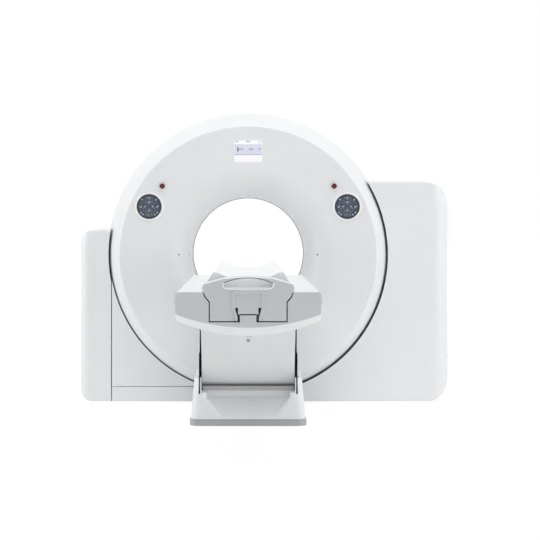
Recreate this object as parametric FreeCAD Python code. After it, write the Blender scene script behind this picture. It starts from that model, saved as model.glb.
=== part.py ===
import FreeCAD, Part
import math
import os
from FreeCAD import Vector as V

# Computed-tomography scanner: a tilting ring gantry between fixed covers, and a lifting
# patient table. Millimetres. X right, +Y from the table towards the back of the gantry,
# Z up. Origin: on the floor, under the isocentre, in the middle of the gantry anchors.

# ---- running gaps -------------------------------------------------------------------
SEAT_GAP = 0.3          # two curved or sliding faces that nearly touch
FIT_GAP = 0.05          # radial play of a shaft in its bearing
STAGE_GAP = 0.5         # between two stages of a telescope
REACH = 60.0            # how far a cutting tool runs past what it cuts

# ---- gantry ring (tilts) ------------------------------------------------------------
BORE_R = 350.0
RING_BAND = 512.0
SHELL_R = BORE_R + RING_BAND        # spherical rim of the ring, centred on the isocentre
FLOOR_GAP = 24.0        # lowest point of the ring above the floor
ISO_Z = SHELL_R + FLOOR_GAP
COVER_T = 5.0           # wall of every moulded cover
HALF_DEPTH = 345.0      # isocentre to the front and to the rear face
RIM_SETBACK = 14.0      # depth of the rounded edge between rim and face
RIM_BAND = 86.0
FACE_R = SHELL_R - RIM_BAND
FRONT_BELL_R = 190.0    # bell mouth that leads into the bore
REAR_BELL_R = 95.0
FACE_DISH = 27.0        # how far the face sinks from its edge to the bell mouth
SPLIT = 0.3             # half of the joint between front and rear cover
LINER_T = 4.0
LINER_FRONT = 110.0     # the bore liner starts this far in front of the isocentre
SEAL_W = 6.0
SEAL_PROUD = 2.5        # the dark seal stands this far into the bore
TRUNNION_HOLE_R = 60.0

# ---- controls on the front face -----------------------------------------------------
CONTROL_INSET = 120.0   # keypads and stop buttons, from the edge of the face
CONTROL_R = FACE_R - CONTROL_INSET
KEYPAD_ANGLE = 26.0     # above horizontal
STOP_ANGLE = 38.7
KEYPAD_R = 76.0
KEYPAD_T = 9.0
KEYPAD_SUNK = 4.0       # the pad's face lies behind the cover's
KEYPAD_RIM_W = 7.0      # raised lip of the cover round a keypad
KEYPAD_RIM_H = 3.5
KEYPAD_RIM_ROUND = 2.0
TRAY_R = 70.0           # pan behind a keypad
TRAY_T = 16.0
STOP_CAP_R = 15.5
STOP_CAP_H = 11.0
STOP_CAP_ROUND = 4.4
STOP_STEM_R = 6.0
STOP_STEM_L = 34.0
STOP_TRAVEL = 4.0
STOP_GAP = 2.0          # left under the cap when it is pressed
STOP_HOLE_R = 10.0
STOP_HOUSING_R = 17.0
STOP_HOUSING_L = 40.0
STOP_FLOOR = 2.0
DISPLAY_W = 168.0
DISPLAY_H = 131.0
DISPLAY_T = 14.0
DISPLAY_PROUD = 3.0
DISPLAY_INSET = 159.0   # middle of the display, from the edge of the face
DISPLAY_R = FACE_R - DISPLAY_INSET
DISPLAY_CORNER = 9.0
LASER_WINDOW_R = 5.5
LASER_WINDOW_T = 10.0
LASER_SUNK = 1.0        # the window's face lies this deep
LASER_OUTER_OFF = 65.0  # laser windows, from the bore outwards
LASER_INNER_OFF = 6.0

# ---- tilt frame and trunnions -------------------------------------------------------
FRAME_Y = 200.0         # front of the frame plate
FRAME_T = 40.0
FRAME_INSET = 127.0
FRAME_R = SHELL_R - FRAME_INSET
RACE_OFF = 120.0        # running circle of the main bearing, from the bore
RACE_R = BORE_R + RACE_OFF
RACE_T = 30.0
RACE_END = 5.0          # free end of each race
FRAME_BORE_R = RACE_R - RACE_T
ARM_INSET = 62.0
ARM_OUT = SHELL_R - ARM_INSET
ARM_T = 55.0
ARM_HALF_H = 120.0
ARM_FRONT = 60.0
ARM_FOOT = 60.0         # how far each arm's foot reaches over the plate
STAYS = 6               # stand-offs that carry the rear cover
STAY_INSET = 135.0
STAY_R = 14.0
TRUNNION_R = 45.0
TRUNNION_FLANGE_R = 80.0
TRUNNION_FLANGE_T = 12.0
STAND_OFF = 23.0        # between the ring and the stands
STAND_IN = SHELL_R + STAND_OFF
STAND_W = 65.0
TRUNNION_END = STAND_IN + STAND_W
TRUNNION_GRIP = 36.0    # how far the driven trunnion reaches into the gearbox

# ---- rotating part and its drive ----------------------------------------------------
DRUM_Y = 100.0          # front of the drum plate
DRUM_T = 30.0
DRUM_BORE_OFF = 35.0
DRUM_BORE_R = BORE_R + DRUM_BORE_OFF
DRUM_INSET = 162.0
DRUM_R = SHELL_R - DRUM_INSET
DRUM_RIM_T = 12.0
DRUM_RIM_L = 170.0
SLIP_OFF = 60.0
SLIP_IN_R = RACE_R + SLIP_OFF
SLIP_W = 110.0
SLIP_T = 18.0
SLIP_GROOVES = 5
GROOVE_HALF_W = 2.0
GROOVE_D = 6.0
BRUSH_HALF_W = 70.0
BRUSH_INSET = 6.0
BRUSH_CORNER = 8.0
FOCUS_INSET = 159.0
FOCUS_R = DRUM_R - FOCUS_INSET      # focal spot above the isocentre
DETECTOR_OFF = 54.0
DETECTOR_R = FOCUS_R + BORE_R + LINER_T + DETECTOR_OFF      # focal spot to detector
DETECTOR_T = 60.0
DETECTOR_HALF_ANGLE = 27.0
DETECTOR_FRONT = 45.0
DETECTOR_WINDOW_D = 8.0
TUBE_R = 88.0
TUBE_OFF = 20.0         # tube axis above the focal spot
TUBE_FRONT = 190.0
TUBE_CAP_R = 53.0
TUBE_CAP_L = 18.0
TUBE_PORT = 40.0
COLLIMATOR_OFF = 35.0
COLLIMATOR_GAP = 16.0   # between collimator and tube
COLLIMATOR_LOW = BORE_R + COLLIMATOR_OFF
COLLIMATOR_TOP = FOCUS_R + TUBE_OFF - TUBE_R - COLLIMATOR_GAP
COLLIMATOR_HALF_W = 95.0
COLLIMATOR_FRONT = 70.0
COLLIMATOR_CORNER = 10.0
PACK_FRONT = 130.0      # front of the units that are bolted on the drum plate
PACK_IN_OFF = 90.0      # their inner and outer edge, from the bore and from the drum's rim
PACK_OUT_INSET = 30.0
PACK_IN_R = BORE_R + PACK_IN_OFF
PACK_OUT_R = DRUM_R - PACK_OUT_INSET
HV_ANGLES = ((40.0, 17.0), (0.0, 14.0))
DATA_ANGLES = ((-24.0, 7.0), (-153.0, 7.0))
COOLER_ANGLE = 132.0
COOLER_HALF_ANGLE = 12.0
COOLER_FINS = 9
COOLER_FIN_HALF_ANGLE = 0.7
COOLER_EDGE = 10.0
COOLER_GROOVE_D = 80.0
WEIGHT_ANGLE = 178.0
WEIGHT_HALF_ANGLE = 20.0
WEIGHT_T = 116.0
WEIGHT_FRONT = 60.0
PULLEY_R = 40.0
PULLEY_OFF = 65.0       # pulley axis outside the drum
PULLEY_AT = DRUM_R + PULLEY_OFF
PULLEY_ANGLE = -52.0
PULLEY_W = 34.0
PULLEY_FLANGE_R = 48.0
PULLEY_FLANGE_T = 3.0
BELT_T = 5.0
BELT_FRONT = -60.0
MOTOR_R = 40.0
MOTOR_L = 190.0
MOTOR_SHAFT_R = 12.0
MOTOR_FLANGE_R = 46.0
MOTOR_FLANGE_T = 10.0

# ---- fixed stand --------------------------------------------------------------------
PLATE_T = 18.0
PLATE_HALF_Y = 150.0
PLATE_WIDE_INSET = 26.0
ANCHOR_X = 700.0        # gantry anchor holes, from the middle
ANCHOR_Y = 110.0
ANCHOR_R = 9.0
STAND_HALF_Y = 130.0
STAND_OVER = 124.0      # stand above the isocentre
STAND_T = 8.0
BEARING_R = 70.0
BEARING_WALL = 14.0
GEARBOX_T = 90.0
GEARBOX_R = 88.0
GEARMOTOR_IN = 12.0     # gear motor below the gearbox, from the stand outwards
GEARMOTOR_W = 66.0
GEARMOTOR_LOW = 230.0
GEARMOTOR_HIGH = 60.0
GEARMOTOR_L = 120.0
GEARMOTOR_ROUND = 12.0
GEARMOTOR_FOOT = (40.0, 60.0, 90.0, 40.0)
POWER_OFF = 30.0
POWER_W = 150.0
POWER_TOP = 560.0
POWER_HALF_Y = 110.0
POWER_ROUND = 12.0

# ---- fixed covers -------------------------------------------------------------------
COVER_HALF_Y = 215.0    # front and rear planes of the fixed covers
LEFT_ROOM = 65.0        # inside of each side cover, from the end of the trunnion
RIGHT_ROOM = 264.0
LEFT_X = -TRUNNION_END - LEFT_ROOM
RIGHT_X = TRUNNION_END + RIGHT_ROOM
LEFT_OVER = 154.0       # cover tops above the isocentre
RIGHT_OVER = 444.0
SEAM_INSET = 35.0
LEFT_SEAM_X = -SHELL_R + SEAM_INSET
LEFT_ROUND = 55.0       # rounding in plan
LEFT_CORNER = 64.0      # corner seen from the front
RIGHT_ROUND = 97.0
RIGHT_CORNER = 80.0
TOP_ROUND = 16.0
RING_GAP = 8.0          # dark gap between the ring and the two big covers
PANEL_GAP = 1.2         # between the ring and the flat panels
PANEL_GAP_Z = 3.0       # between panel and plinth
PANEL_END = 200.0
SEAM = 5.0
PLINTH_TOP = 88.0
POST_OFF = 4.0
POST_W = 28.0
POST_D = 30.0
POST_TOP = 550.0

# ---- table base and lift ------------------------------------------------------------
TABLE_PLATE_T = 12.0
BASE_FRONT = -1289.0
BASE_BACK = -640.0
TABLE_PLATE_SETBACK = 60.0
TABLE_PLATE_FRONT = BASE_FRONT + TABLE_PLATE_SETBACK
TABLE_PLATE_INSET = 15.0
TABLE_PLATE_BACK = BASE_BACK - TABLE_PLATE_INSET
FOOT_HALF_W = 311.0
FOOT_OVER = 10.0
FOOT_BACK = BASE_BACK + FOOT_OVER
FOOT_H = 36.0
FOOT_BEVEL = 9.0
FOOT_CORNER = 55.0
FOOT_T = 20.0
BASE_SETBACK = 5.0      # cover inside the edge of the foot strip
BASE_TAPER = 19.0       # each side leans in by this much up to the top
BASE_LEAN = 32.0        # and the front by this much
BASE_TOP = 250.0
RAMP_LOW_Z = 46.0
RAMP_LOW_HALF_W = 140.0
RAMP_STEP = 27.0        # the ramp's top is this much narrower than the opening, each side
RAMP_HIGH_Z = 143.0     # top of the toe recess's ramp; a short riser stands on it
RAMP_BACK = -1130.0
RAMP_EDGE_ROUND = 19.0
SHELF_Z = 173.0
SHELF_BACK = -1066.0
CHEEK_W = 61.0
CHEEK_IN = FOOT_HALF_W - CHEEK_W        # inner face of the cheeks beside the apron
RAMP_HALF_W = CHEEK_IN - RAMP_STEP
SLIT_LOW_Z = 166.0
SLIT_OFF = 5.0
SLIT_IN = CHEEK_IN + SLIT_OFF
SLIT_W = 9.0
WELL_LOW = 50.0
WELL_GAP = 4.0
WELL_FRONT_GAP = 8.0
WELL_BACK_GAP = 12.0
WELL_BACK_L = 40.0
DOCK_HALF_W = 200.0
TABLE_ANCHOR_INSET = 71.0
TABLE_ANCHOR_X = FOOT_HALF_W - TABLE_ANCHOR_INSET
TABLE_ANCHOR_FRONT = -1205.0
TABLE_ANCHOR_BACK = -690.0
TABLE_ANCHOR_R = 7.0

# ---- table top ----------------------------------------------------------------------
BED_DROP = 116.0        # table top below the isocentre
BED_TOP = ISO_Z - BED_DROP
BED_FRONT = -2592.0
BED_BACK = -450.0
BED_HALF_W = 322.0
BED_SIDE_DROP = 130.0        # where the sides meet the curved belly
BED_SIDE_Z = BED_TOP - BED_SIDE_DROP
BED_BELLY_DROP = 199.0
BED_BELLY_Z = BED_TOP - BED_BELLY_DROP
BED_EDGE = 10.0
BED_CORNER = 18.0       # rounding between side and belly
END_T = 20.0
END_ROUND = 3.0
END_SIDE_DROP = 98.0
END_SIDE_Z = BED_TOP - END_SIDE_DROP
END_BELLY_DROP = 157.0
END_BELLY_Z = BED_TOP - END_BELLY_DROP
BEVEL_L = 60.0          # belly bevel behind the end face
NOSE_DROP = 34.0        # underside at the far end; the belly climbs to it at 45 degrees
NOSE_Z = BED_TOP - NOSE_DROP
TROUGH_D = 133.0
TROUGH_LOW = BED_TOP - TROUGH_D
TROUGH_HALF_W = 174.0
TROUGH_STEP_DROP = 45.0
TROUGH_STEP_Z = BED_TOP - TROUGH_STEP_DROP
TROUGH_KNEE = (194.0, 21.5)     # half width, below the table top
TROUGH_NECK = (197.5, 6.5)
TROUGH_LIP_HALF_W = 204.0
TROUGH_END = -640.0
TROUGH_T = 4.0
SHALLOW_D = 7.0
SHALLOW_Z = BED_TOP - SHALLOW_D
SHALLOW_HALF_W = 181.0
CAP_GAP = 5.5
RAIL_HALF_W = 36.0
RAIL_H = 31.0
RAIL_TOP = TROUGH_LOW + RAIL_H
BEAM_IN = 182.0
BEAM_OUT = 222.0
CROSS_T = 11.0
BEAM_LOW = TROUGH_LOW - TROUGH_T - CROSS_T      # the body cover rests on the cross plates
BEAM_H = 93.0
BEAM_TOP = BEAM_LOW + BEAM_H
BEAM_T = 4.0
BEAM_SETBACK = 120.0
BEAM_BACK_INSET = 170.0
CROSS_HALF_L = 40.0
CROSS_MID_HALF_L = 150.0
CROSS_NEAR_Y = -1800.0
SIDE_RAIL_H = 31.0
SIDE_RAIL_DROP = 57.0
SIDE_RAIL_LOW = BED_TOP - SIDE_RAIL_DROP
SIDE_RAIL_TOP = SIDE_RAIL_LOW + SIDE_RAIL_H
SIDE_RAIL_T = 5.0
SIDE_RAIL_BACK = -700.0
SIDE_RAIL_INSET = 30.0
SIDE_RAIL_ROUND = 8.0
HATCH_X = 25.0          # opening in the belly round the columns
HATCH_Y = 80.0

# ---- lifting columns, skirt and apron -----------------------------------------------
COLUMN_HALF_X = 80.0
COLUMN_HALF_Y = 50.0
COLUMN_T = 5.0
COLUMN_FRONT_Y = -1000.0
COLUMN_REAR_Y = -830.0
STAGE_LAP = 82.0        # how far each stage still sits in the one outside it
STAGE_L = (BEAM_LOW - TABLE_PLATE_T + 2 * STAGE_LAP) / 3
SCREW_R = 12.0
SCREW_GAP = 6.0
LIFT_MOTOR_TOP = 150.0
LIFT_MOTOR_HALF_X = 60.0
LIFT_MOTOR_GAP = 4.0
LIFT_MOTOR_ROUND = 10.0
SHROUD_INSET = 43.0
SHROUD_HALF_W = FOOT_HALF_W - SHROUD_INSET
SHROUD_T = 3.5
SHROUD_FRONT = -1195.0
SHROUD_BACK = -700.0
SHROUD_LAP = 27.0
SHROUD_SUNK = 75.0      # how far the middle skirt sits in the base
UP_SHROUD_LOW = BASE_TOP + (BED_SIDE_Z - BASE_TOP) / 3
MID_SHROUD_TOP = UP_SHROUD_LOW + SHROUD_LAP
MID_SHROUD_LOW = BASE_TOP - SHROUD_SUNK
APRON_GAP = 1.0         # between the apron and the cheeks
APRON_FLARE = 9.0
APRON_HALF_W = CHEEK_IN - APRON_GAP
APRON_TOP_HALF_W = APRON_HALF_W + APRON_FLARE
APRON_T = 3.0
APRON_Y = -1200.0
APRON_BEND_R = 150.0
APRON_BEND_ANGLE = 75.0
BAR_H = 22.0            # bar that holds the apron's lower edge
BAR_FRONT = 14.0
BAR_BACK = 16.0
BAR_HALF_W = CHEEK_IN - APRON_GAP
BAR_CHAMFER = 8.0
APRON_BEND_Z = SHELF_Z + BAR_H + SEAT_GAP + APRON_BEND_R * math.sin(math.radians(APRON_BEND_ANGLE))

# ---- cradle and its end cap ---------------------------------------------------------
CAP_L = 122.0
HUMP_EDGE = (203.0, 17.0)       # half width, above the table top
HUMP_TURN = (200.0, 29.0)
HUMP_SHOULDER = (188.0, 40.0)
HUMP_BROW = (112.0, 61.5)
HUMP_H = 68.0
HUMP_ROUND = 6.0
HOLD_TIP = (112.0, 30.0)        # hand hold: half width, above the table top
HOLD_LOW_TURN = (111.0, 21.0)
HOLD_LOW = (104.0, 17.0)
HOLD_FLOOR = 10.8
HOLD_HIGH_TURN = (109.0, 38.5)
HOLD_HIGH = (98.0, 44.0)
HOLD_ROOF = 63.0
HOLD_LEDGE = (12.0, 21.0)       # behind the end face, above the table top
HOLD_BACK = (27.0, 33.0)
HOLD_DEEP = (34.0, 52.0)
CRADLE_LIFT = 6.0               # underside above the table top
CRADLE_LOW = BED_TOP + CRADLE_LIFT
CRADLE_HALF_FLAT = 150.0
CRADLE_HALF_W = 183.0
CRADLE_SIDE_UP = 42.0
CRADLE_SIDE_Z = BED_TOP + CRADLE_SIDE_UP
CRADLE_SIDE_DROP = 6.0
CRADLE_TURN = (175.0, 14.0)     # on the rounded lower edge: half width, above the underside
CRADLE_RIM = (157.0, 83.0)      # half width, above the table top
CRADLE_RIM_ROUND = 6.0
CRADLE_LIP_DROP = 1.0
CRADLE_LIP = 136.0
CRADLE_FLOOR_UP = 45.0
CRADLE_FLOOR = BED_TOP + CRADLE_FLOOR_UP
CRADLE_BACK = -420.0
CRADLE_NOSE_R = 126.0           # corner of the far end, seen from above
CRADLE_NOSE_OFF = 6.0           # the corner's square lies this far outside the cradle's side
CARRIAGE_HALF_W = 60.0
CARRIAGE_L = 310.0
GLIDE_IN = 90.0
GLIDE_OUT = 140.0
GLIDE_INSET = 5.0

# ---- release grip on the end cap ----------------------------------------------------
RELEASE_T = 5.5
RELEASE_ROUND = 1.8
PIVOT_Y = 12.0          # behind the end face
PIVOT_UP = 19.0         # above the trough's floor
PIVOT_Z = TROUGH_LOW + PIVOT_UP
PIN_R = 4.0
PIN_L = 12.0
LUG_R = 8.0
LUG_IN = 49.0
LUG_OUT = 60.0
SLOT_OUT = 62.0
SLOT_UP = 64.0          # slots beside the guide rail, above the trough's floor
SLOT_NECK_UP = 34.0
SLOT_NECK_IN = 45.3
SLOT_D = 26.0
GRIP_OUTER = ((60.5, -13.0), (61.5, 3.0), (75.0, 46.0), (75.0, 107.0), (71.0, 117.0), (61.0, 121.0))
GRIP_INNER = ((46.0, -13.0), (47.0, 3.0), (57.0, 40.0), (57.0, 100.0), (55.0, 106.0), (49.0, 108.0))

ISO = V(0, 0, ISO_Z)


# ---- small tools --------------------------------------------------------------------
def flat(plane, at):
    """Places a point of a drawing on one of the three main planes."""
    return {
        "xz": lambda u, v: V(u, at, v),
        "yz": lambda u, v: V(at, u, v),
        "xy": lambda u, v: V(u, v, at),
    }[plane]


def outline(place, start, steps):
    """Closed face from lines (u, v) and three-point arcs ((u, v), (u, v))."""
    edges, here = [], place(*start)
    for step in steps:
        if isinstance(step[0], tuple):
            end = place(*step[1])
            edges.append(Part.Arc(here, place(*step[0]), end).toShape())
        else:
            end = place(*step)
            if end.distanceToPoint(here) < 1e-6:
                continue
            edges.append(Part.makeLine(here, end))
        here = end
    if here.distanceToPoint(place(*start)) > 1e-6:
        edges.append(Part.makeLine(here, place(*start)))
    return Part.Face(Part.Wire(edges))


def prism(plane, low, high, start, *steps):
    """Extrudes an outline from low to high, across its plane."""
    way = {"xz": V(0, 1, 0), "yz": V(1, 0, 0), "xy": V(0, 0, 1)}[plane]
    return outline(flat(plane, low), start, steps).extrude(way * (high - low))


def mirrored(start, *steps, over=None):
    """The right half of an outline, bottom to top, and its mirror image down the left.

    An arc through the point over joins the halves at the top, or else a straight line.
    """
    points, arcs = [start], []
    for step in steps:
        arcs.append(step[0] if isinstance(step[0], tuple) else None)
        points.append(step[1] if isinstance(step[0], tuple) else step)
    out = list(steps)
    top = (-points[-1][0], points[-1][1])
    out.append((over, top) if over else top)
    for i in range(len(arcs) - 1, -1, -1):
        end = (-points[i][0], points[i][1])
        out.append(((-arcs[i][0], arcs[i][1]), end) if arcs[i] else end)
    return [start] + out


def box(x0, x1, y0, y1, z0, z1):
    return Part.makeBox(x1 - x0, y1 - y0, z1 - z0, V(x0, y0, z0))


def rounded_points(u0, u1, v0, v1, r):
    """Rectangle with four rounded corners."""
    k = r * (1 - math.sqrt(0.5))
    return [(u0 + r, v0),
            (u1 - r, v0), ((u1 - k, v0 + k), (u1, v0 + r)),
            (u1, v1 - r), ((u1 - k, v1 - k), (u1 - r, v1)),
            (u0 + r, v1), ((u0 + k, v1 - k), (u0, v1 - r)),
            (u0, v0 + r), ((u0 + k, v0 + k), (u0 + r, v0))]


def rounded(plane, low, high, u0, u1, v0, v1, r):
    """Block with four rounded edges along the extrusion."""
    return prism(plane, low, high, *rounded_points(u0, u1, v0, v1, r))


def loft(plane, at_0, points_0, at_1, points_1):
    """Solid between two outlines on parallel planes."""
    wires = [outline(flat(plane, at), points[0], points[1:]).OuterWire
             for at, points in ((at_0, points_0), (at_1, points_1))]
    return Part.makeLoft(wires, True, True)


def turned(start, *steps):
    """Revolves an (r, y) outline about the gantry axis."""
    face = outline(lambda r, y: V(r, y, ISO_Z), start, steps)
    return face.revolve(ISO, V(0, 1, 0), 360)


def ring(r_in, r_out, y0, y1):
    return turned((r_in, y0), (r_out, y0), (r_out, y1), (r_in, y1))


def rod(at, way, r, length):
    return Part.makeCylinder(r, length, at, way)


def on_ring(angle, r, y=0.0):
    a = math.radians(angle)
    return V(r * math.cos(a), y, ISO_Z + r * math.sin(a))


def front_edges(shape, y):
    """Edges that lie wholly in the plane of a front face."""
    return [e for e in shape.Edges
            if abs(e.BoundBox.YMin - y) < 1e-3 and abs(e.BoundBox.YMax - y) < 1e-3]


def sphere_r(radius, y):
    return math.sqrt(radius ** 2 - y ** 2)


def both(shape):
    """A solid and its mirror image across the middle plane, as two separate solids."""
    return Part.Compound([shape, shape.mirror(V(0, 0, 0), V(1, 0, 0))])


def save(name, shape):
    if shape.ShapeType == "Compound" and len(shape.Solids) == 1:
        shape = shape.Solids[0]
    shape.exportStep("parts/" + name + ".step")
    print(f"{name:24s} solids {len(shape.Solids)} volume {shape.Volume / 1e6:9.3f} l"
          f" valid {shape.isValid()}")


# ---- gantry ring --------------------------------------------------------------------
FACE_TILT = math.atan2(FACE_DISH, FACE_R - BORE_R - FRONT_BELL_R)


def face_y(r):
    """Depth of the dished front face at a radius."""
    return -HALF_DEPTH + math.tan(FACE_TILT) * (FACE_R - r)


def face_normal(angle):
    a = math.radians(angle)
    s = math.sin(FACE_TILT)
    return V(-s * math.cos(a), -math.cos(FACE_TILT), -s * math.sin(a))


def ring_cover(side, dish, bell, bore_end):
    """Half of the ring's cover: rim, rounded edge, face and bell mouth, one moulding."""
    t, r0 = COVER_T, SHELL_R
    edge = HALF_DEPTH - RIM_SETBACK
    mouth, lip = BORE_R + bell, HALF_DEPTH - dish
    k = math.sqrt(0.5)
    corner = (0.5 * (sphere_r(r0, edge) + FACE_R) + 0.25 * RIM_SETBACK,
              HALF_DEPTH - 0.25 * RIM_SETBACK)
    points = [
        (sphere_r(r0, SPLIT), SPLIT),
        ((sphere_r(r0, edge / 2), edge / 2), (sphere_r(r0, edge), edge)),
        (corner, (FACE_R, HALF_DEPTH)),
        (mouth, lip),
        ((mouth - bell * k, lip - bell * (1 - k)), (BORE_R, lip - bell)),
        (BORE_R, bore_end),
        (BORE_R + t, bore_end),
        (BORE_R + t, lip - bell),
        ((mouth - (bell - t) * k, lip - t - (bell - t) * (1 - k)), (mouth, lip - t)),
        (FACE_R, HALF_DEPTH - t),
        (sphere_r(r0 - t, edge), edge),
        ((sphere_r(r0 - t, edge / 2), edge / 2), (sphere_r(r0 - t, SPLIT), SPLIT)),
    ]

    def place(p):
        if isinstance(p[0], tuple):
            return tuple((r, side * y) for r, y in p)
        return (p[0], side * p[1])

    cover = turned(*[place(p) for p in points])
    start = -SHELL_R - REACH
    hole = rod(V(start, 0, ISO_Z), V(1, 0, 0), TRUNNION_HOLE_R, -2 * start)
    keep = box(-FACE_R, FACE_R, -HALF_DEPTH, HALF_DEPTH, 0, 2 * ISO_Z)
    return cover.cut(hole.cut(keep))


def control_centres():
    """(angle, side) of the keypads and of the stop buttons."""
    pads = [180 - KEYPAD_ANGLE, KEYPAD_ANGLE]
    stops = [180 - STOP_ANGLE, STOP_ANGLE]
    return pads, stops


def on_face(angle, r, off):
    """Point on the dished face, moved off it along its normal."""
    return on_ring(angle, r, face_y(r)) + face_normal(angle) * off


def keypad(angle):
    base = on_face(angle, CONTROL_R, -KEYPAD_SUNK - KEYPAD_T)
    return rod(base, face_normal(angle), KEYPAD_R - SEAT_GAP, KEYPAD_T)


def round_far_edge(body, r, n, rounding):
    """Rounds the circular edge of radius r that lies furthest along n."""
    rims = [e for e in body.Edges if abs(e.Length - 2 * math.pi * r) < 1e-3]
    far = max(rims, key=lambda e: (e.CenterOfMass - ISO).dot(n))
    return body.makeFillet(rounding, [far])


def stop_button(angle):
    n = face_normal(angle)
    under = STOP_TRAVEL + STOP_GAP
    stem = rod(on_face(angle, CONTROL_R, under - STOP_STEM_L), n, STOP_STEM_R, STOP_STEM_L)
    cap = rod(on_face(angle, CONTROL_R, under), n, STOP_CAP_R, STOP_CAP_H)
    return round_far_edge(cap, STOP_CAP_R, n, STOP_CAP_ROUND).fuse(stem)


def stop_housing(angle):
    n = face_normal(angle)
    back = on_face(angle, CONTROL_R, -COVER_T - STOP_HOUSING_L)
    body = rod(back, n, STOP_HOUSING_R, STOP_HOUSING_L)
    neck = rod(on_face(angle, CONTROL_R, -COVER_T), n, STOP_HOLE_R, COVER_T)
    bore_l = STOP_HOUSING_L + COVER_T
    return body.fuse(neck).cut(rod(back + n * STOP_FLOOR, n, STOP_STEM_R + FIT_GAP, bore_l))


def display_block(grow, depth):
    """Block of the display, leaning with the dished face, grown on its sides."""
    w, h = DISPLAY_W / 2 + grow, DISPLAY_H / 2 + grow
    block = rounded("xz", -DISPLAY_PROUD, depth, -w, w, -h, h, DISPLAY_CORNER)
    block.rotate(V(0, 0, 0), V(1, 0, 0), math.degrees(FACE_TILT))
    block.translate(on_ring(90, DISPLAY_R, face_y(DISPLAY_R)))
    return block


def bell_point(angle, r):
    """Point and outward normal on the front bell mouth."""
    up = math.acos((BORE_R + FRONT_BELL_R - r) / FRONT_BELL_R)
    a = math.radians(angle)
    centre_y = -HALF_DEPTH + FACE_DISH + FRONT_BELL_R
    n = V(-math.cos(up) * math.cos(a), -math.sin(up), -math.cos(up) * math.sin(a))
    return on_ring(angle, r, centre_y - FRONT_BELL_R * math.sin(up)), n


def laser_spots():
    outer, inner = BORE_R + LASER_OUTER_OFF, BORE_R + LASER_INNER_OFF
    return [bell_point(a, r) for a, r in (
        (0, outer), (0, inner), (180, outer), (180, inner), (90, inner))]


def keypad_lip(angle):
    """Raised and rounded lip round a keypad, down to the middle of the cover's wall."""
    n, r = face_normal(angle), KEYPAD_R + KEYPAD_RIM_W
    lip = rod(on_face(angle, CONTROL_R, -COVER_T / 2), n, r, COVER_T / 2 + KEYPAD_RIM_H)
    return round_far_edge(lip, r, n, KEYPAD_RIM_ROUND)


def front_cover():
    cover = ring_cover(-1, FACE_DISH, FRONT_BELL_R, LINER_FRONT)
    pads, stops = control_centres()
    for angle in pads:
        cover = cover.fuse(keypad_lip(angle))
    for angle, r in [(a, KEYPAD_R) for a in pads] + [(a, STOP_HOLE_R) for a in stops]:
        cover = cover.cut(rod(on_face(angle, CONTROL_R, -REACH), face_normal(angle), r, 2 * REACH))
    cover = cover.cut(display_block(SEAT_GAP, REACH))
    for spot, n in laser_spots():
        cover = cover.cut(rod(spot - n * REACH / 3, n, LASER_WINDOW_R, REACH / 2))
    return cover


def laser_windows():
    return Part.Compound([
        rod(spot - n * (LASER_SUNK + LASER_WINDOW_T), n, LASER_WINDOW_R - SEAT_GAP, LASER_WINDOW_T)
        for spot, n in laser_spots()])


def keypad_tray(angle):
    """Back pan that carries a keypad behind the cover."""
    back = -KEYPAD_SUNK - KEYPAD_T - TRAY_T
    return rod(on_face(angle, CONTROL_R, back), face_normal(angle), TRAY_R, TRAY_T)


# ---- tilt frame and trunnions -------------------------------------------------------
def tilt_frame():
    plate = ring(FRAME_BORE_R, FRAME_R, FRAME_Y, FRAME_Y + FRAME_T)
    for side in (-1, 1):
        x0, x1 = sorted((side * (ARM_OUT - ARM_T), side * ARM_OUT))
        low, high = ISO_Z - ARM_HALF_H, ISO_Z + ARM_HALF_H
        arm = box(x0, x1, -ARM_FRONT, FRAME_Y + FRAME_T, low, high)
        root = sorted((side * (FRAME_R - ARM_FOOT), side * ARM_OUT))
        foot = box(root[0], root[1], FRAME_Y, FRAME_Y + FRAME_T, low, high)
        plate = plate.fuse(arm).fuse(foot)
    spot = on_ring(PULLEY_ANGLE, PULLEY_AT, FRAME_Y)
    plate = plate.fuse(rod(spot, V(0, 1, 0), MOTOR_FLANGE_R, FRAME_T))
    stay_l = HALF_DEPTH - COVER_T - FRAME_Y
    for i in range(STAYS):
        foot = on_ring(360.0 * (i + 0.5) / STAYS, FRAME_R - STAY_INSET, FRAME_Y)
        plate = plate.fuse(rod(foot, V(0, 1, 0), STAY_R, stay_l))
    return plate.removeSplitter()


def trunnion(side):
    way = V(side, 0, 0)
    end = TRUNNION_END if side < 0 else TRUNNION_END + TRUNNION_GRIP
    flange = rod(V(side * ARM_OUT, 0, ISO_Z), way, TRUNNION_FLANGE_R, TRUNNION_FLANGE_T)
    return flange.fuse(rod(V(side * ARM_OUT, 0, ISO_Z), way, TRUNNION_R, end - ARM_OUT))


def brush_block():
    y0 = DRUM_Y + DRUM_T + SLIP_T + STAGE_GAP
    low = ISO_Z + SLIP_IN_R + BRUSH_INSET
    high = ISO_Z + SLIP_IN_R + SLIP_W - BRUSH_INSET
    return rounded("xz", y0, FRAME_Y, -BRUSH_HALF_W, BRUSH_HALF_W, low, high, BRUSH_CORNER)


def drive_motor():
    spot = on_ring(PULLEY_ANGLE, PULLEY_AT, 0)
    motor = rod(V(spot.x, FRAME_Y - MOTOR_L, spot.z), V(0, 1, 0), MOTOR_R, MOTOR_L)
    flange = rod(V(spot.x, FRAME_Y - MOTOR_FLANGE_T, spot.z), V(0, 1, 0), MOTOR_FLANGE_R,
                 MOTOR_FLANGE_T)
    tip = BELT_FRONT - PULLEY_FLANGE_T
    shaft = rod(V(spot.x, tip, spot.z), V(0, 1, 0), MOTOR_SHAFT_R, FRAME_Y - MOTOR_L - tip)
    return motor.fuse(flange).fuse(shaft)


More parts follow.
